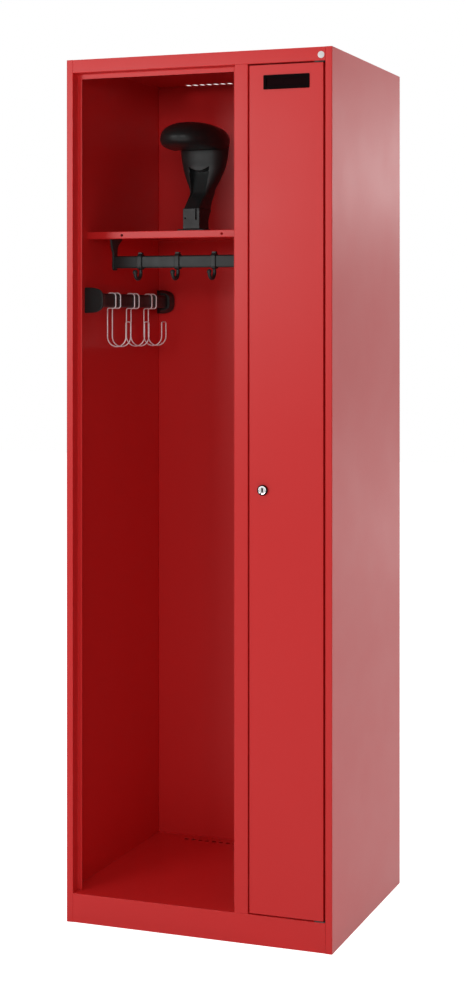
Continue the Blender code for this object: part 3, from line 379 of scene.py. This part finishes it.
def round_corner(before, corner, after, radius, steps):
    """Points of the arc that replaces one corner of a path, in 2-D or 3-D."""
    corner = Vector(corner)
    towards_before = (Vector(before) - corner).normalized()
    towards_after = (Vector(after) - corner).normalized()
    half = towards_before.angle(towards_after) / 2
    centre = corner + (towards_before + towards_after).normalized() * (radius / math.sin(half))
    start = (corner + towards_before * (radius / math.tan(half)) - centre).normalized()
    end = (corner + towards_after * (radius / math.tan(half)) - centre).normalized()
    sweep = start.angle(end)
    points = []
    for step in range(steps + 1):
        part = step / steps
        blend = start * math.sin((1 - part) * sweep) + end * math.sin(part * sweep)
        points.append(centre + blend * (radius / math.sin(sweep)))
    return points


def rounded_path(corners, radii, steps=14):
    """An open path with each inner corner turned into an arc of its own radius."""
    path = [Vector(corners[0])]
    for index, radius in enumerate(radii, start=1):
        path += round_corner(corners[index - 1], corners[index], corners[index + 1], radius, steps)
    path.append(Vector(corners[-1]))
    return path


def rounded_rectangle(low, high, radius, steps=8):
    """A closed rectangle outline with rounded corners."""
    corners = [(low[0], low[1]), (high[0], low[1]), (high[0], high[1]), (low[0], high[1])]
    outline = []
    for index in range(4):
        following = corners[(index + 1) % 4]
        outline += round_corner(corners[index - 1], corners[index], following, radius, steps)
    return outline


def grown(outline, amount):
    """A convex outline scaled about its middle so that its smaller half grows by an amount."""
    lows = [min(point[axis] for point in outline) for axis in (0, 1)]
    highs = [max(point[axis] for point in outline) for axis in (0, 1)]
    middle = Vector(((lows[0] + highs[0]) / 2, (lows[1] + highs[1]) / 2))
    halves = Vector(((highs[0] - lows[0]) / 2, (highs[1] - lows[1]) / 2))
    scale = [(half + amount) / half for half in halves]
    return [
        Vector((middle.x + (point[0] - middle.x) * scale[0], middle.y + (point[1] - middle.y) * scale[1]))
        for point in outline
    ]


def on_axis(axis, point, along):
    """A 2-D point and a distance along the axis, as a 3-D point."""
    if axis == "X":
        return Vector((along, point[0], point[1]))
    if axis == "Y":
        return Vector((point[0], along, point[1]))
    return Vector((point[0], point[1], along))


def loft(sections):
    """A solid over closed 3-D sections of equal point count, capped at both ends."""
    builder = bmesh.new()
    loops = [[builder.verts.new(point) for point in section] for section in sections]
    for lower, upper in zip(loops, loops[1:]):
        for index in range(len(lower)):
            following = (index + 1) % len(lower)
            builder.faces.new((lower[index], lower[following], upper[following], upper[index]))
    builder.faces.new(loops[0][::-1])
    builder.faces.new(loops[-1])
    return builder


def bar(outline, axis, low, high, rounding):
    """A bar of constant section with softly rounded ends."""
    sections = []
    for turn in (0, 30, 60, 90):
        inset = rounding * (1 - math.sin(math.radians(turn)))
        shift = rounding * (1 - math.cos(math.radians(turn)))
        ring = grown(outline, -inset)
        sections.append([on_axis(axis, point, low + shift) for point in ring])
    mirrored = [[point.copy() for point in section] for section in sections[::-1]]
    index = "XYZ".index(axis)
    for section in mirrored:
        for point in section:
            point[index] = high - (point[index] - low)
    return loft(sections + mirrored)


def turned(profile, axis, centre, count=72):
    """A closed (radius, height) profile turned about an axis through a 2-D centre."""
    builder = bmesh.new()
    loops = []
    for radius, along in profile:
        if radius == 0:
            loops.append([builder.verts.new(on_axis(axis, centre, along))])
            continue
        turns = [2 * math.pi * index / count for index in range(count)]
        ring = [
            (centre[0] + radius * math.cos(turn), centre[1] + radius * math.sin(turn)) for turn in turns
        ]
        loops.append([builder.verts.new(on_axis(axis, point, along)) for point in ring])
    for first, second in zip(loops, loops[1:] + loops[:1]):
        if len(first) == 1 and len(second) == 1:
            continue
        for index in range(count):
            following = (index + 1) % count
            face = [
                first[index % len(first)], first[following % len(first)],
                second[following % len(second)], second[index % len(second)],
            ]
            builder.faces.new(list(dict.fromkeys(face)))
    return builder


def swept(path, radius, around=20):
    """A round wire along a path, with domed ends."""
    ways = [(after - before).normalized() for before, after in zip(path, path[1:])]
    ways.append(ways[-1])
    side = ways[0].orthogonal().normalized()
    rings = []
    for index, point in enumerate(path):
        way = (ways[max(index - 1, 0)] + ways[index]).normalized()
        side = (side - way * side.dot(way)).normalized()
        rings.append((Vector(point), way, side, radius))
    domed = []
    for turn in (15, 40, 65):
        share = math.cos(math.radians(turn))
        shift = radius * math.sin(math.radians(turn))
        domed.append((share * radius, shift))
    point, way, side, _ = rings[0]
    start = [(point - way * shift, way, side, size) for size, shift in domed[::-1]]
    point, way, side, _ = rings[-1]
    end = [(point + way * shift, way, side, size) for size, shift in domed]
    sections = []
    for point, way, side, size in start + rings + end:
        up = way.cross(side)
        turns = [2 * math.pi * index / around for index in range(around)]
        sections.append([point + (side * math.cos(turn) + up * math.sin(turn)) * size for turn in turns])
    return loft(sections)


def block(low, high):
    """A plain block, used to cut others."""
    outline = [(low[0], low[1]), (high[0], low[1]), (high[0], high[1]), (low[0], high[1])]
    return loft([[on_axis("Z", point, z) for point in outline] for z in (low[2], high[2])])


def solid_object(builder):
    """A temporary object from a bmesh."""
    bmesh.ops.recalc_face_normals(builder, faces=builder.faces)
    mesh = bpy.data.meshes.new("solid")
    builder.to_mesh(mesh)
    builder.free()
    solid = bpy.data.objects.new("solid", mesh)
    bpy.context.scene.collection.objects.link(solid)
    return solid


def baked(solid):
    """The modified shape of a temporary object as a bmesh."""
    bpy.context.view_layer.update()
    evaluated = solid.evaluated_get(bpy.context.evaluated_depsgraph_get())
    builder = bmesh.new()
    builder.from_mesh(evaluated.to_mesh())
    evaluated.to_mesh_clear()
    bpy.data.objects.remove(solid)
    return builder


def carved(builder, cutter):
    """The first solid with the second cut out of it."""
    solid = solid_object(builder)
    tool = solid_object(cutter)
    step = solid.modifiers.new("cut", "BOOLEAN")
    step.operation = "DIFFERENCE"
    step.solver = "EXACT"
    step.object = tool
    result = baked(solid)
    bpy.data.objects.remove(tool)
    return result


def fused(parts, cell):
    """Several overlapping solids melted into one moulded shape."""
    whole = bmesh.new()
    for part in parts:
        bmesh.ops.recalc_face_normals(part, faces=part.faces)
        mesh = bpy.data.meshes.new("part")
        part.to_mesh(mesh)
        part.free()
        whole.from_mesh(mesh)
        bpy.data.meshes.remove(mesh)
    solid = solid_object(whole)
    melt = solid.modifiers.new("melt", "REMESH")
    melt.mode = "VOXEL"
    melt.voxel_size = cell
    ease = solid.modifiers.new("ease", "SMOOTH")
    ease.factor = 0.5
    ease.iterations = 3
    return baked(solid)


def smooth_rows(rows, count):
    """Even samples of a smooth curve through the rows of a table."""
    sampled = []
    for step in range(count + 1):
        position = step / count * (len(rows) - 1)
        index = min(int(position), len(rows) - 2)
        part = position - index
        before = rows[max(index - 1, 0)]
        start = rows[index]
        end = rows[index + 1]
        after = rows[min(index + 2, len(rows) - 1)]
        sampled.append([
            0.5 * (2 * b + (c - a) * part + (2 * a - 5 * b + 4 * c - d) * part ** 2
                   + (3 * b - a - 3 * c + d) * part ** 3)
            for a, b, c, d in zip(before, start, end, after)
        ])
    return sampled


def oval(count, power):
    """Points of a squared circle of half width 1."""
    points = []
    for index in range(count):
        turn = 2 * math.pi * index / count
        across = math.copysign(abs(math.cos(turn)) ** (2 / power), math.cos(turn))
        along = math.copysign(abs(math.sin(turn)) ** (2 / power), math.sin(turn))
        points.append((across, along))
    return points


def ramp(value, start, end):
    """0 before start, 1 after end, and a soft step between them."""
    share = min(max((value - start) / (end - start), 0.0), 1.0)
    return share * share * (3 - 2 * share)


# ---------------------------------------------------------------- from solids to pieces

def add_piece(name, builder, stands_for, smooth_angle=None):
    """Turn a bmesh into a piece that rides and is finished as the CAD nodes it stands for."""
    bmesh.ops.recalc_face_normals(builder, faces=builder.faces)
    mesh = bpy.data.meshes.new(name)
    builder.to_mesh(mesh)
    builder.free()
    mesh.shade_smooth()
    if smooth_angle:
        mesh.set_sharp_from_angle(angle=math.radians(smooth_angle))
    piece = bpy.data.objects.new(name, mesh)
    bpy.context.scene.collection.objects.link(piece)
    first = stands_for[0]
    mesh.materials.append(FINISHES[SLOT_OF[first]])
    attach(piece, BODY_OF[first])
    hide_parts(*stands_for)
    return piece


def welded(node):
    """A CAD node's faces as a bmesh, its triangles merged back into flat faces."""
    builder = bmesh.new()
    builder.from_mesh(frame["nodes"][node].data)
    bmesh.ops.remove_doubles(builder, verts=builder.verts, dist=0.000002)
    bmesh.ops.dissolve_limit(
        builder, angle_limit=math.radians(0.5), verts=builder.verts, edges=builder.edges
    )
    return builder


def soft_edges(piece, width, segments=2, angle=35):
    """Round a piece's edges and keep its flats flat in the light."""
    bevel = piece.modifiers.new("soft_edges", "BEVEL")
    bevel.width = width
    bevel.segments = segments
    bevel.limit_method = "ANGLE"
    bevel.angle_limit = math.radians(angle)
    bevel.harden_normals = True
    weighted = piece.modifiers.new("flat_light", "WEIGHTED_NORMAL")
    weighted.keep_sharp = True


def refine(node, width, segments=2):
    """Rebuild a folded or machined CAD node with soft edges."""
    piece = add_piece(f"{node}_skin", welded(node), [node])
    soft_edges(piece, width, segments)
    return piece


# ---------------------------------------------------------------- sheet metal

SHEET_NODES = (
    "left_side", "right_side", "roof_panel", "floor_panel", "back_panel", "partition_wall",
    "centre_stile", "coat_shelf", "narrow_shelf", "door_panel", "door_stiffener",
)

# Gaps at the welded joints, which the paint fills: axis, where the CAD edge is, where its neighbour is
CLOSED_JOINTS = {
    "back_panel": (
        (2, 0.0626, 0.0623), (2, 1.8487, 1.8490), (0, 0.2987, 0.2990), (0, -0.2987, -0.2990),
    ),
    "roof_panel": ((0, 0.2847, 0.2850), (0, -0.2847, -0.2850)),
    "floor_panel": ((0, 0.2847, 0.2850), (0, -0.2847, -0.2850)),
    "centre_stile": ((2, 0.0626, 0.0623), (2, 1.8212, 1.8215)),
    "partition_wall": ((2, 0.0626, 0.0623), (2, 1.8487, 1.8490), (1, 0.2394, 0.2400)),
    "coat_shelf": ((0, -0.2987, -0.2990), (0, 0.1007, 0.1010)),
}


def close_joints(piece, joints):
    """Move a sheet's edges on to the sheets they are welded to, and a hair's breadth into them."""
    tolerance = 0.00003
    overlap = 0.0001
    for vertex in piece.data.vertices:
        for axis, edge, neighbour in joints:
            if abs(vertex.co[axis] - edge) < tolerance:
                vertex.co[axis] = neighbour + math.copysign(overlap, neighbour - edge)


def make_sheet_pieces():
    """All painted sheet metal."""
    for node in SHEET_NODES:
        close_joints(refine(node, 0.00005), CLOSED_JOINTS.get(node, ()))


# ---------------------------------------------------------------- coat rail

def rail_outline(spread=0.0):
    """Section of the coat rail in the Y-Z plane."""
    low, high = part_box("coat_rail")
    return rounded_rectangle(
        (low.y - spread, low.z - spread), (high.y + spread, high.z + spread), 0.0035 + spread
    )


def make_coat_rail():
    """Flat-sided moulded rail."""
    low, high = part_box("coat_rail")
    add_piece("coat_rail_bar", bar(rail_outline(), "X", low.x, high.x, 0.0008), ["coat_rail"], 50)


def make_rail_bracket(side, inward):
    """Hanger: a thin end plate that cups the rail and spreads out into a foot under the shelf."""
    node = f"rail_bracket_{side}"
    low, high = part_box(node)
    rail_low, rail_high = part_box("coat_rail")
    middle_x = (low.x + high.x) / 2
    rail_y = (rail_low.y + rail_high.y) / 2
    rail_z = (rail_low.z + rail_high.z) / 2
    foot = (high.x - low.x) / 2
    plate = 0.0026
    neck = 0.0098
    gap = 0.0003
    pocket_depth = 0.030
    # height, half width along X, reach to the front, reach to the rear
    levels = (
        (high.z, foot, 0.0250, 0.0380),
        (high.z - 0.0030, foot, 0.0250, 0.0372),
        (high.z - 0.0050, foot * 0.8, 0.0240, 0.0365),
        (high.z - 0.0068, plate, 0.0232, 0.0358),
        (rail_z + 0.050, plate, 0.0220, 0.0340),
        (rail_z + 0.043, plate, 0.0205, 0.0240),
        (rail_z + 0.036, plate, 0.0180, 0.0150),
        (rail_z + 0.026, plate, 0.0135, 0.0104),
        (rail_z + 0.017, plate, neck, neck),
        (rail_z - 0.012, plate, neck, neck),
        (rail_z - 0.0160, plate, 0.0085, 0.0085),
        (low.z, plate, 0.0058, 0.0058),
    )
    sections = []
    for z, half_x, forward, rearward in smooth_rows(levels, 90):
        middle_y = rail_y + (rearward - forward) / 2
        half_y = (rearward + forward) / 2
        points = [(middle_x + a * half_x, middle_y + b * half_y) for a, b in oval(64, 8.0)]
        sections.append([on_axis("Z", point, z) for point in points])
    rail_end = rail_low.x if inward > 0 else rail_high.x
    start, end = sorted((rail_end - inward * gap, middle_x + inward * pocket_depth))
    pocket = loft([[on_axis("X", point, x) for point in rail_outline(gap)] for x in (start, end)])
    piece = add_piece(f"{node}_moulding", carved(loft(sections), pocket), [node], 50)
    soft_edges(piece, 0.0003, 2, 50)


def make_rail_hook(number):
    """Hook that slides on the rail, moulded in one piece: band, lug, J and ball."""
    node = f"rail_hook_{number}"
    low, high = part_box(node)
    rail_low, rail_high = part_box("coat_rail")
    x = (low.x + high.x) / 2
    rail_y = (rail_low.y + rail_high.y) / 2
    slack = 0.0005
    wall = 0.003
    bend = 0.0150
    arc = bend * 0.9
    stem = 0.0040
    ball = 0.0055
    bottom = low.z + stem
    tip_y = rail_y - 2 * bend
    tip_z = bottom + 0.0140
    lug_half_width = 0.0045
    lug_half_depth = 0.005
    lug_height = 0.004
    band = bar(rail_outline(slack + wall), "X", low.x, high.x, 0.0012)
    hole = loft([
        [on_axis("X", point, along) for point in rail_outline(slack)]
        for along in (low.x - wall, high.x + wall)
    ])
    # the stem's domed end rises by its radius, and stays inside the band's wall, clear of the rail
    stem_top = rail_low.z - slack - wall / 2 - stem
    corners = [(x, rail_y, stem_top), (x, rail_y, bottom), (x, tip_y, bottom), (x, tip_y, tip_z)]
    wire = swept(rounded_path(corners, (arc, arc)), stem, 28)
    belt = [math.radians(turn) for turn in range(-75, 76, 15)]
    profile = [(ball * math.cos(turn), tip_z + ball * math.sin(turn)) for turn in belt]
    tip = turned([(0, tip_z - ball), *profile, (0, tip_z + ball)], "Z", (x, tip_y), 36)
    lug = block(
        (x - lug_half_width, rail_y - lug_half_depth, high.z - lug_height - wall / 2),
        (x + lug_half_width, rail_y + lug_half_depth, high.z),
    )
    add_piece(f"{node}_moulding", fused([carved(band, hole), wire, tip, lug], 0.00035), [node])


# ---------------------------------------------------------------- side bar

def side_bar_outline(spread=0.0):
    """Section of the side bar in the X-Z plane."""
    low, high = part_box("side_bar")
    return rounded_rectangle(
        (low.x - spread, low.z - spread), (high.x + spread, high.z + spread), 0.007 + spread
    )


def make_side_bar():
    """Moulded bar along the left wall."""
    low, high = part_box("side_bar")
    add_piece("side_bar_bar", bar(side_bar_outline(), "Y", low.y, high.y, 0.0008), ["side_bar"], 50)


def half_oval(y, wall_x, room_x, middle_z, half_height):
    """D-shaped section, flat on the wall side, its two corners slightly rounded."""
    points = []
    power = 0.62
    steps = 48
    for step in range(steps + 1):
        turn = math.radians(-90 + 180 * step / steps)
        across = max(math.cos(turn), 0.0) ** power
        height = math.copysign(abs(math.sin(turn)) ** power, math.sin(turn))
        points.append(Vector((wall_x + (room_x - wall_x) * across, y, middle_z + half_height * height)))
    return points


def make_side_bar_bracket(end, inward, sleeve):
    """Wall bracket: a D-shaped end that narrows to a sleeve, given by its room side and half height."""
    node = f"side_bar_bracket_{end}"
    low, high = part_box(node)
    end_y = low.y if inward > 0 else high.y
    length = high.y - low.y
    middle_z = (low.z + high.z) / 2
    half_height = (high.z - low.z) / 2
    rim = 0.0014
    plate = 0.005
    gap = 0.0003
    pocket_start = 0.0095
    pocket_past_end = 0.010
    sleeve_wall_x = -0.2813
    sleeve_room_x, sleeve_half_height = sleeve
    stations = [0.0, rim * 0.3, rim, plate]
    stations += [plate + (length - plate - rim) * step / 24 for step in range(1, 25)]
    stations += [length - rim * 0.3, length]
    sections = []
    for station in stations:
        part = min(max(0.0, (station - plate) / (length - plate)), 1.0)
        spread = (1 - part) ** 2.2
        distance = min(station, length - station)
        rounding = rim * (1 - math.sqrt(1 - (1 - min(distance / rim, 1.0)) ** 2))
        section = half_oval(
            end_y + inward * station,
            sleeve_wall_x + spread * (low.x - sleeve_wall_x) + rounding * (1 - spread),
            sleeve_room_x + spread * (high.x - sleeve_room_x) - rounding,
            middle_z,
            sleeve_half_height + spread * (half_height - sleeve_half_height) - rounding,
        )
        sections.append(section)
    start, finish = sorted((end_y + inward * pocket_start, end_y + inward * (length + pocket_past_end)))
    pocket = loft([[on_axis("Y", point, y) for point in side_bar_outline(gap)] for y in (start, finish)])
    piece = add_piece(f"{node}_moulding", carved(loft(sections), pocket), [node], 50)
    soft_edges(piece, 0.0003, 2, 50)


def make_wire_hook(number):
    """One wire bent double: it clips round the side bar and ends in a J joined by an arch."""
    node = f"wire_hook_{number}"
    low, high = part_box(node)
    bar_low, bar_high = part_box("side_bar")
    wire = 0.00135
    slack = 0.0005
    middle_y = (low.y + high.y) / 2
    half_pitch = (high.y - low.y) / 2 - wire
    wall_side = bar_low.x - 2 * slack - wire
    room_side = bar_high.x + slack + wire
    over = bar_high.z + slack + wire
    under = bar_low.z - slack - wire
    free_end = (bar_low.z + bar_high.z) / 2 - 0.002
    reach = 0.045
    arc = reach / 2 * 0.99
    bottom = low.z + wire
    tip = bottom + 0.0550
    outline = [
        (wall_side, free_end), (wall_side, over), (room_side, over), (room_side, under),
        (wall_side, under), (wall_side, bottom), (wall_side + reach, bottom), (wall_side + reach, tip),
    ]
    radii = [0.0078, 0.0078, 0.006, 0.004, arc, arc]
    near = [(x, middle_y - half_pitch, z) for x, z in outline]
    far = [(x, middle_y + half_pitch, z) for x, z in reversed(outline)]
    path = rounded_path(near + far, radii + [0.006, 0.006] + radii[::-1], 12)
    add_piece(f"{node}_wire", swept(path, wire, 16), [node])


# ---------------------------------------------------------------- helmet stand

def seam_climb(y):
    """How far the seam between arm and pad has risen at a place along Y."""
    slope = 0.2
    seam_y = -0.005
    return slope * max(0.0, y - seam_y)


def make_helmet_arm():
    """Moulded arm that leans back and flares out, with a channel sunk in its front."""
    low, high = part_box("helmet_arm")
    pad_low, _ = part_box("helmet_pad")
    middle_x = (low.x + high.x) / 2
    base = low.z
    gap = 0.0003
    # height, centre along Y, half width, half depth, squareness, share of the seam's climb,
    # half width of the channel, depth of the channel
    stations = (
        (base, -0.006, 0.0200, 0.0370, 7.0, 0.0, 0.0155, 0.0015),
        (base + 0.020, 0.010, 0.0195, 0.0330, 6.0, 0.0, 0.0160, 0.0030),
        (base + 0.034, 0.022, 0.0225, 0.0285, 4.5, 0.0, 0.0165, 0.0060),
        (base + 0.047, 0.025, 0.0262, 0.0270, 3.6, 0.0, 0.0175, 0.0090),
        (base + 0.069, 0.030, 0.0378, 0.0300, 2.8, 0.0, 0.0205, 0.0160),
        (base + 0.091, 0.0355, 0.0470, 0.0340, 2.5, 0.15, 0.0225, 0.0205),
        (base + 0.111, 0.038, 0.0520, 0.0400, 2.4, 0.55, 0.0225, 0.0205),
        (pad_low.z - gap, 0.039, 0.0545, 0.0440, 2.4, 1.0, 0.0225, 0.0205),
    )
    channel_top = base + 0.085
    brow_rise = 0.0085
    brow_edge = 0.0012
    sections = []
    for z, centre_y, half_x, half_y, power, climb, channel, depth in smooth_rows(stations, 150):
        section = []
        for across, along in oval(200, power):
            x_share = abs(across) * half_x / channel
            brow = channel_top + brow_rise * min(x_share, 1.0) ** 2
            sink = 0.0
            if along < 0:
                sink = depth * ramp(x_share, 1.05, 0.95) * ramp(z, brow + brow_edge, brow - brow_edge)
            y = centre_y + half_y * along
            section.append(Vector((middle_x + half_x * across, y + sink, z + climb * seam_climb(y))))
        sections.append(section)
    add_piece("helmet_arm_moulding", loft(sections), ["helmet_arm"], 60)


def make_helmet_pad():
    """Domed pad with a flat underside that juts forward and a small oval dish near the crown."""
    low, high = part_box("helmet_pad")
    middle_x = (low.x + high.x) / 2
    middle_y = (low.y + high.y) / 2
    half_x = (high.x - low.x) / 2
    half_y = (high.y - low.y) / 2
    rise = high.z - low.z
    # share of the height, share of the width, how far the underside is cut back at the front
    levels = (
        (0.0, 0.985, 0.56), (0.008, 0.987, 0.46), (0.020, 0.99, 0.36), (0.045, 0.995, 0.22),
        (0.09, 1.0, 0.11), (0.15, 1.0, 0.045), (0.24, 1.0, 0.01), (0.34, 1.0, 0.0),
        (0.46, 0.985, 0.0), (0.60, 0.935, 0.0), (0.74, 0.84, 0.0), (0.86, 0.68, 0.0),
        (0.94, 0.49, 0.0), (0.985, 0.26, 0.0), (0.999, 0.08, 0.0), (1.0, 0.02, 0.0),
    )
    undercut_power = 1.3
    dish = (middle_x + 0.014, middle_y - 0.066)
    dish_half_width = 0.013
    dish_half_length = 0.011
    dish_depth = 0.0016
    dish_floor = 0.78
    upper_part = 0.6
    sections = []
    for part, size, undercut in smooth_rows(levels, 110):
        section = []
        for across, along in oval(128, 2.15):
            scale = size * (1 - undercut * ((1 - along) / 2) ** undercut_power)
            x = middle_x + half_x * scale * across
            y = middle_y + half_y * scale * along
            away = math.hypot((x - dish[0]) / dish_half_width, (y - dish[1]) / dish_half_length)
            sink = dish_depth * ramp(away, 1.0, dish_floor) if part > upper_part else 0.0
            lift = (1 - min(part, 1.0)) * seam_climb(y)
            section.append(Vector((x, y, low.z + rise * min(part, 1.0) + lift - sink)))
        sections.append(section)
    add_piece("helmet_pad_moulding", loft(sections), ["helmet_pad"], 60)


# ---------------------------------------------------------------- lock, badge and round fittings

def make_lock_housing():
    """Black lock housing with a rolled rim."""
    low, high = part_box("lock_housing")
    centre = ((low.x + high.x) / 2, (low.z + high.z) / 2)
    rim = (high.x - low.x) / 2
    face = low.y
    seat = face + 0.0059
    barrel = 0.0095
    bore = 0.0094
    inner_bore = 0.0063
    recess = face + 0.003
    rolled = 0.0012
    profile = [(bore, face + 0.0003), (bore + 0.0003, face)]
    for turn in range(0, 91, 15):
        across = rim - rolled + rolled * math.sin(math.radians(turn))
        profile.append((across, face + rolled - rolled * math.cos(math.radians(turn))))
    profile += [
        (rim, seat), (barrel, seat), (barrel, high.y), (inner_bore, high.y), (inner_bore, recess),
        (bore, recess),
    ]
    add_piece("lock_housing_turned", turned(profile, "Y", centre, 96), ["lock_housing"], 40)


def make_lock_plug():
    """Chromed plug: a dished face with turning marks, and a keyway whose chrome walls are painted black as
    shade.
    """
    low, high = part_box("lock_plug")
    centre = ((low.x + high.x) / 2, (low.z + high.z) / 2)
    rim = (high.x - low.x) / 2
    shaft = 0.006
    face = low.y
    shoulder = face + 0.0021
    dish = 0.00025
    profile = [(0, face + dish)]
    for ring in range(1, 12):
        radius = (rim - 0.0010) * ring / 12
        mark = 0.00004 if ring % 2 else 0.0
        profile.append((radius, face + dish - mark))
    profile += [
        (rim - 0.0009, face + dish * 0.4), (rim - 0.0006, face), (rim - 0.0002, face + 0.0003),
        (rim, face + 0.0008), (rim, shoulder), (shaft, shoulder), (shaft, high.y), (0, high.y),
    ]
    half_width = 0.0019
    half_height = 0.0048
    depth = 0.0055
    keyway = block(
        (centre[0] - half_width, face - 0.001, centre[1] - half_height),
        (centre[0] + half_width, face + depth, centre[1] + half_height),
    )
    solid = carved(turned(profile, "Y", centre, 96), keyway)
    # the keyway's chrome walls get the black lock finish: painted shade deep in the slot
    margin = 0.00002
    for part in solid.faces:
        middle = part.calc_center_median()
        in_width = abs(middle.x - centre[0]) < half_width + margin
        in_height = abs(middle.z - centre[1]) < half_height + margin
        in_depth = face + dish < middle.y < face + depth + margin
        part.material_index = 1 if in_width and in_height and in_depth else 0
    piece = add_piece("lock_plug_turned", solid, ["lock_plug"], 30)
    piece.data.materials.append(FINISHES["lock_black"])


def make_badge():
    """Plain domed badge."""
    low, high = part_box("badge_disc")
    centre = ((low.x + high.x) / 2, (low.z + high.z) / 2)
    radius = (high.x - low.x) / 2
    thickness = high.y - low.y
    profile = [(0, high.y), (radius, high.y), (radius, high.y - thickness * 0.5)]
    for turn in range(0, 91, 15):
        across = radius * (1 - 0.06 * (1 - math.cos(math.radians(turn))))
        profile.append((across, high.y - thickness * (0.5 + 0.4 * math.sin(math.radians(turn)))))
    profile.append((0, low.y))
    add_piece("badge_disc_enamelled", turned(profile, "Y", centre, 64), ["badge_disc"], 60)


def make_buffer(end):
    """Rubber buffer with a domed nose."""
    node = f"door_buffer_{end}"
    low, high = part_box(node)
    centre = ((low.x + high.x) / 2, (low.z + high.z) / 2)
    radius = (high.x - low.x) / 2
    nose = 0.0012
    profile = [(0, high.y), (radius, high.y)]
    for turn in range(0, 76, 15):
        across = radius - nose * (1 - math.cos(math.radians(turn)))
        profile.append((across, low.y + nose - nose * math.sin(math.radians(turn))))
    profile.append((0, low.y))
    add_piece(f"{node}_moulding", turned(profile, "Y", centre, 40), [node], 60)


def make_other_refined():
    """Small fittings whose CAD shape is right."""
    for node in frame["nodes"]:
        if not frame["nodes"][node].hide_render:
            refine(node, 0.00025)


make_camera()
make_studio()
FINISHES = make_finishes()
make_sheet_pieces()
make_coat_rail()
for side, inward in (("left", 1), ("right", -1)):
    make_rail_bracket(side, inward)
for number in (1, 2, 3):
    make_rail_hook(number)
    make_wire_hook(number)
make_side_bar()
make_side_bar_bracket("front", 1, (-0.2600, 0.0178))
make_side_bar_bracket("rear", -1, (-0.2560, 0.0215))
make_helmet_arm()
make_helmet_pad()
make_lock_housing()
make_lock_plug()
make_badge()
for end in ("bottom", "top"):
    make_buffer(end)
make_other_refined()
